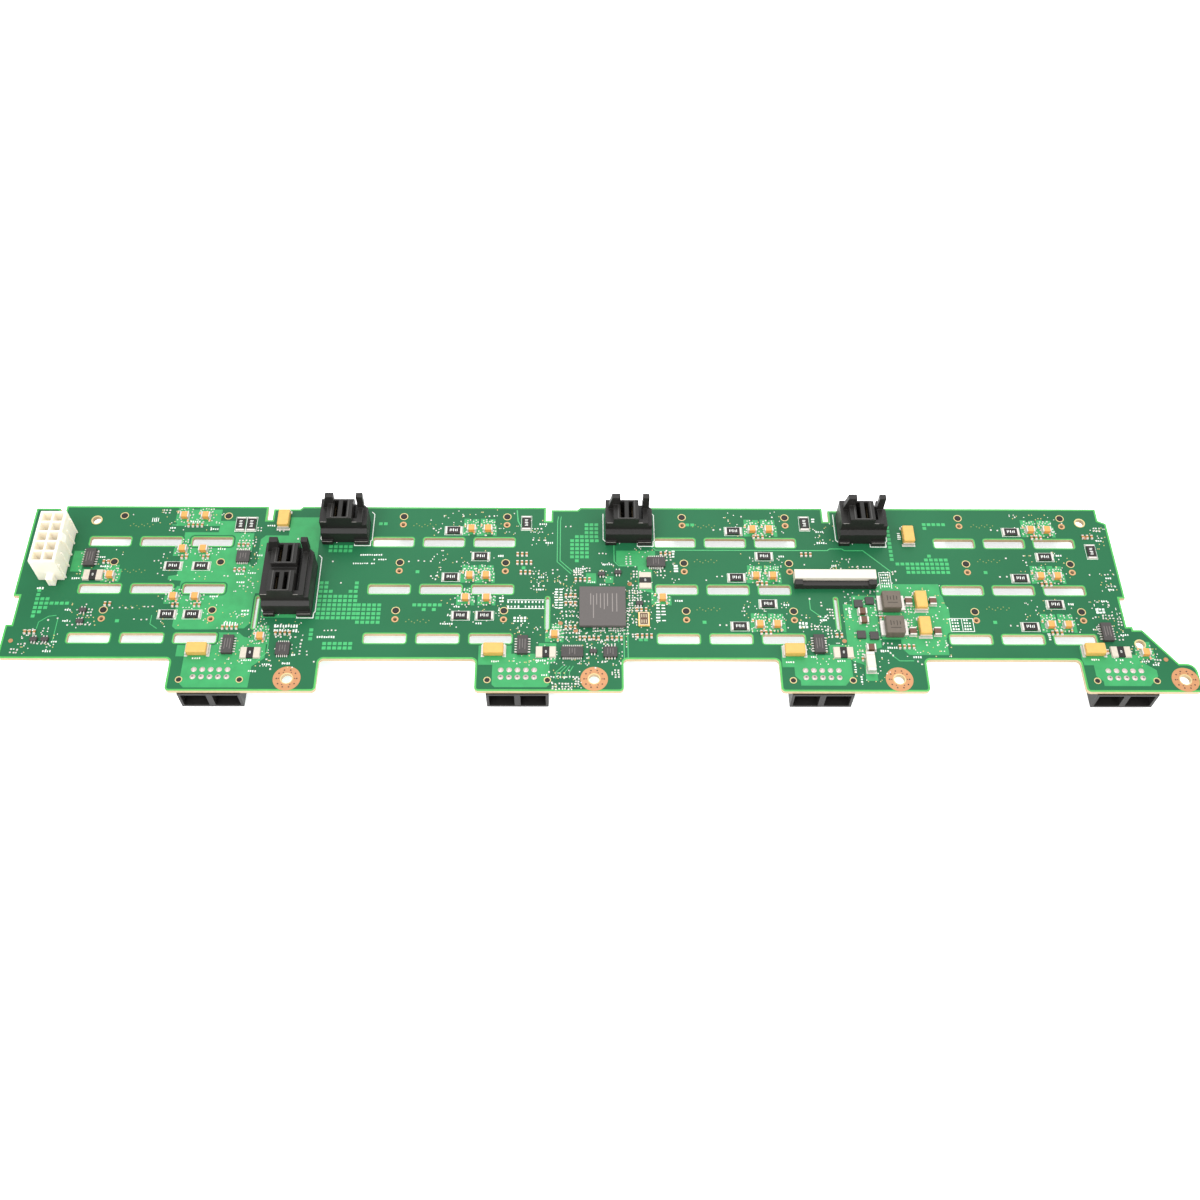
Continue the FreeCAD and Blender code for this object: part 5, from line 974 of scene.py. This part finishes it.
class BOARD_OT_connectors(bpy.types.Operator):
    """Moulded connectors: receptacles, data connectors, cable headers and the power header, with painted
    highlights on the data connectors' ribs and edges
    """

    bl_idname = "board.connectors"
    bl_label = "Connectors"

    def execute(self, context):
        colours, sizes = settings()
        black = matt(grained("black plastic", colours.black, 0.42, spread=0.3, scale=1200, relief=0.35), 0.3)
        white = grained("white plastic", colours.white, 0.4, spread=0.05, scale=500, relief=0.15)
        for node in sorted(NODES):
            dark = node.startswith(("drive_receptacle", "data_connector", "cable_header_"))
            if dark and "pins" not in node:
                moulded(node, sizes.edge / MM, black)
        # The power header glows faintly: painted light that lightens its shaded cells.
        moulded("power_header", 0.2, tuned(white, MILKY_WITH_PAINTED_GLOW), flatten=False)
        paint(["receptacle_contacts"], grained("gold plating", colours.gold, 0.3, metallic=0.9, scale=1500))
        shaded = grained("shaded contact", shade(colours.gold, 0.09), 0.5, metallic=0.4, scale=1500)
        paint(["data_contacts"], shaded)
        tin = grained("tinned pin", (0.56, 0.47, 0.45), 0.35, metallic=0.3, spread=0.15, scale=1600)
        paint(["power_header_pins"] + [f"cable_header_pins_{number}" for number in HEADER_NUMBERS], tin)
        # Lighter ribs on each port's top and pale strips on the front edges of feet and towers: painted
        # highlights on the black plastic.
        ribs, edges = Pile(), Pile()
        for node in DATA_CONNECTORS:
            foot = corners_of(node)[0, :2] + (0, PORT_FOOT)
            for port in range(2 if node.endswith("double") else 1):
                front = foot + (0, PORT_FRONT + PORT_PITCH * port)
                for spot, size, high in PORT_RIBS:
                    bricks(ribs, front + spot, size, TOP + 13, TOP + 13 + high)
            for spot, size, high in PORT_EDGE_HIGHLIGHTS:
                bricks(edges, foot + spot, size, TOP + high, TOP + high + 0.1)
        # Ribs lighter than the black plastic round them: a painted highlight.
        painted_sheen = grained("rubbed plastic", shade(colours.black, 2.2), 0.35, scale=1200)
        ribs.piece("connector_rib_highlights", painted_sheen, "black_plastic")
        # Pale strips along the feet's and towers' front edges: painted highlights where the edges catch the
        # light.
        painted_glint = grained("polished edge", (0.32, 0.30, 0.28), 0.25, scale=1200)
        edges.piece("connector_edge_highlights", painted_glint, "black_plastic")
        return {"FINISHED"}


class BOARD_OT_ribbon(bpy.types.Operator):
    """Flat cable connector: white housing, dark sliding lock and tinned contacts"""

    bl_idname = "board.ribbon"
    bl_label = "Flat cable connector"

    def execute(self, context):
        colours, _ = settings()
        white = shade(colours.white, 0.86)
        white = grained("connector white", white, 0.4, spread=0.05, scale=500, relief=0.1)
        moulded("ribbon_housing", 0.15, white)
        dark = matt(grained("dark lock", shade(colours.chip, 0.55), 0.4, spread=0.2, scale=1200), 0.3)
        moulded("ribbon_lock", 0.12, dark, body="lock")
        paint(["ribbon_contacts"], grained("ribbon contact", colours.tin, 0.35, metallic=0.5, scale=1500))
        return {"FINISHED"}


class BOARD_OT_chips(bpy.types.Operator):
    """Moulded chips, transistors and their leads, with plain marks"""

    bl_idname = "board.chips"
    bl_label = "Chips"

    def execute(self, context):
        colours, _ = settings()
        package = grained("chip package", colours.chip, 0.5, spread=0.25, scale=1500, relief=0.4)
        for node in ("driver_chips", "logic_chips", "transistors", "power_switches"):
            moulded(node, 0.12, package)
        grey = shade(colours.chip, 2.2)
        grey = grained("controller package", grey, 0.55, spread=0.1, scale=1300, relief=0.3)
        moulded("controller_chip", 0.12, grey)
        leads = ["driver_chip_leads", "logic_chip_leads", "transistor_leads", "controller_solder"]
        paint(leads, grained("lead", colours.tin, 0.35, metallic=0.5, scale=1500))
        marks, strokes = Pile(), Pile()
        low, upper = corners_of("controller_chip")
        for place, middle, length in CONTROLLER_MARKS:
            bricks(marks, low[:2] + (place, middle), (0.35, length), upper[2], upper[2] + 0.02)
        marks.piece("controller_marks", grained("faded marks", shade(colours.chip, 5.5), 0.6, scale=900))
        stroke(strokes, "driver_chips", 0.015)
        stroke(strokes, "logic_chips", 0.015)
        strokes.piece("chip_strokes", grained("chip strokes", shade(colours.chip, 3.4), 0.6, scale=900))
        return {"FINISHED"}


class BOARD_OT_passives(bpy.types.Operator):
    """Resistors, capacitors, sensing strips and the smallest chip parts with their tinned ends"""

    bl_idname = "board.passives"
    bl_label = "Passive parts"

    def execute(self, context):
        colours, _ = settings()
        tin = grained("end cap", colours.tin, 0.35, metallic=0.35, spread=0.1, scale=1500)
        film = matt(grained("resistor film", shade(colours.chip, 0.5), 0.35, spread=0.15, scale=1500), 0.25)
        moulded("power_resistors", 0.06, film, 1)
        moulded("sense_strips", 0.06, film, 1)
        moulded("tantalum_capacitors", 0.45, grained("yellow epoxy", colours.epoxy, 0.4, scale=500, coat=0.1))
        moulded("ceramic_capacitors", 0.2, grained("tan ceramic", colours.ceramic, 0.4, scale=700))
        brown = grained("brown ceramic", colours.brown, 0.4, spread=0.2, scale=700)
        moulded("filter_capacitors", 0.15, brown)
        dull = grained("dull end cap", (0.58, 0.52, 0.43), 0.4, metallic=0.2, spread=0.15, scale=900)
        for node in ("power_resistor_ends", "ceramic_capacitor_ends", "filter_capacitor_ends"):
            moulded(node, 0.08, tin, 1)
        moulded("sense_strip_ends", 0.08, dull, 1)
        paint(["tantalum_capacitor_feet"], tin)
        small = grained("small part", shade(colours.ceramic, 0.5), 0.45, spread=0.3, scale=400)
        paint(["small_chip_parts"], small)
        ends, neighbours, marks = Pile(), Pile(), Pile()
        for sign in (-1, 1):
            spots = middles("small_chip_parts")
            bricks(ends, spots + (0, sign * 0.66), (0.86, 0.36), TOP, TOP + 0.52)
            bricks(ends, spots + (0, sign * 0.86), (0.8, 0.4), TOP, TOP + 0.12)
        draws = np.random.default_rng(13)
        for place in middles("ceramic_capacitors"):
            spots = place + CERAMIC_NEIGHBOURS + draws.uniform(-0.3, 0.3, (2, 2))
            spots = spots[on_board(spots, 0.9)]
            bricks(neighbours, spots, (0.6, 0.62), TOP, TOP + 0.5)
            for sign in (-1, 1):
                bricks(ends, spots + (0, sign * 0.45), (0.62, 0.3), TOP, TOP + 0.51)
        tan = grained("small ceramic", colours.ceramic, 0.45, spread=0.2)
        neighbours.piece("small_ceramics", tan, "tan_ceramic")
        ends.piece("small_part_ends", tin, "tinned_metal")
        stroke(marks, "power_resistors", 0.02, turn=True)
        stroke(marks, "sense_strips", 0.02)
        marks.piece("resistor_marks", grained("resistor mark", shade(colours.print_white, 1.1), 0.6))
        return {"FINISHED"}


class BOARD_OT_power(bpy.types.Operator):
    """Inductors, fuse, crystal and the copper rings of the screw holes"""

    bl_idname = "board.power"
    bl_label = "Power parts"

    def execute(self, context):
        colours, _ = settings()
        powder = grained("pressed powder", colours.ferrite, 0.55, spread=0.2, scale=1100, relief=0.5)
        moulded("inductors", 0.45, powder)
        tin = grained("terminal", colours.tin, 0.35, metallic=0.45, scale=1500)
        paint(["inductor_leads"], tin)
        strokes, lid, vias = Pile(), Pile(), Pile()
        stroke(strokes, "inductors", 0.015, sink=0.02)
        dark = grained("dark strokes", shade(colours.ferrite, 0.3), 0.7, scale=900)
        strokes.piece("inductor_strokes", dark, "ferrite")
        moulded("fuse_body", 0.15, grained("white ceramic", shade(colours.white, 0.8), 0.4, scale=700))
        moulded("fuse_ends", 0.2, tin)
        moulded("crystal_base", 0.15, grained("gold frame", colours.gold, 0.3, metallic=0.7, scale=1500))
        brown = grained("brown lid", shade(colours.brown, 0.75), 0.35, metallic=0.2, scale=1200)
        moulded("crystal_lid", 0.1, brown)
        # Pale strokes on the crystal's lid are painted reflections of the studio light; a pale band also
        # wraps the lid's edge.
        stroke(lid, "crystal_lid", 0.015)
        low, upper = corners_of("crystal_lid")
        band(lid, around(low, upper, 0.12), 0.3, low[2], upper[2] + 0.01)
        lid.piece("crystal_reflections_and_rim", grained("pale strokes", (0.62, 0.52, 0.34), 0.5, scale=900), "brown_lid")
        copper = grained("bare copper", colours.copper, 0.42, metallic=0.3, spread=0.1, scale=800, relief=0.3)
        paint(["screw_pads"], copper)
        for x, y in middles("screw_pads"):
            rings(vias, circle(x, y, 3.6, 10), 0, 0.3, TOP + 0.06, TOP + 0.09, 10)
            rings(vias, circle(x, y, 2.85, 6), 0, 0.22, TOP + 0.06, TOP + 0.09, 8)
        vias.piece("ring_vias", grained("via shadow", (0.06, 0.03, 0.02), 0.7), "copper")
        return {"FINISHED"}


class BOARD_OT_stage(bpy.types.Operator):
    """Pale floor, soft studio light and the camera"""

    bl_idname = "board.stage"
    bl_label = "Stage"

    def execute(self, context):
        colours, _ = settings()
        scene = context.scene
        floor = bpy.data.objects.new("floor", bpy.data.meshes.new("floor"))
        floor.data.from_pydata([(-6, -6, 0), (6, -6, 0), (6, 6, 0), (-6, 6, 0)], [], [(0, 1, 2, 3)])
        scene.collection.objects.link(floor)
        plain = grained("plain floor", colours.floor, 0.8, spread=0.01, scale=3, relief=0)
        tuned(plain, {"Emission Color": (1, 1, 1, 1), "Emission Strength": FLOOR_GLOW})
        floor.data.materials.append(plain)
        scene.world = bpy.data.worlds.new("studio")
        scene.world.use_nodes = True
        studio = scene.world.node_tree.nodes["Background"]
        studio.inputs["Color"].default_value = (1, 1, 1, 1)
        studio.inputs["Strength"].default_value = 1.0
        scene.view_settings.view_transform = "Standard"
        for name, place, size, power in LAMPS:
            lamp = bpy.data.lights.new(name, "AREA")
            lamp.size = size
            lamp.energy = power
            item = bpy.data.objects.new(name, lamp)
            item.location = place
            item.rotation_euler = (-Vector(place)).to_track_quat("-Z", "Y").to_euler()
            scene.collection.objects.link(item)
        camera = bpy.data.objects.new("camera", bpy.data.cameras.new("camera"))
        camera.data.sensor_width = 36
        camera.data.lens = CAMERA_LENS
        camera.data.clip_start = 0.01
        right, up = Vector(CAMERA_RIGHT), Vector(CAMERA_UP)
        turn = Matrix((right, up, right.cross(up))).transposed()
        camera.matrix_world = Matrix.Translation(CAMERA_PLACE) @ turn.to_4x4()
        scene.collection.objects.link(camera)
        scene.camera = camera
        return {"FINISHED"}


PIECES = (
    BOARD_OT_laminate, BOARD_OT_copper, BOARD_OT_solder, BOARD_OT_print, BOARD_OT_connectors,
    BOARD_OT_ribbon, BOARD_OT_chips, BOARD_OT_passives, BOARD_OT_power, BOARD_OT_stage,
)


class BOARD_PT_panel(bpy.types.Panel):
    bl_label = "Drive backplane board"
    bl_idname = "BOARD_PT_panel"
    bl_space_type = "VIEW_3D"
    bl_region_type = "UI"
    bl_category = "Board"

    def draw(self, context):
        for group in (context.scene.board_colours, context.scene.board_sizes):
            for name in group.__annotations__:
                self.layout.prop(group, name)
        for piece in PIECES:
            self.layout.operator(piece.bl_idname)


CLASSES = (BoardColours, BoardSizes, *PIECES, BOARD_PT_panel)


def register():
    for item in CLASSES:
        bpy.utils.register_class(item)
    bpy.types.Scene.board_colours = bpy.props.PointerProperty(type=BoardColours)
    bpy.types.Scene.board_sizes = bpy.props.PointerProperty(type=BoardSizes)


def unregister():
    del bpy.types.Scene.board_sizes
    del bpy.types.Scene.board_colours
    for item in reversed(CLASSES):
        bpy.utils.unregister_class(item)


def main():
    register()
    for piece in PIECES:
        getattr(bpy.ops.board, piece.bl_idname.split(".")[1])()


if __name__ == "__main__":
    main()
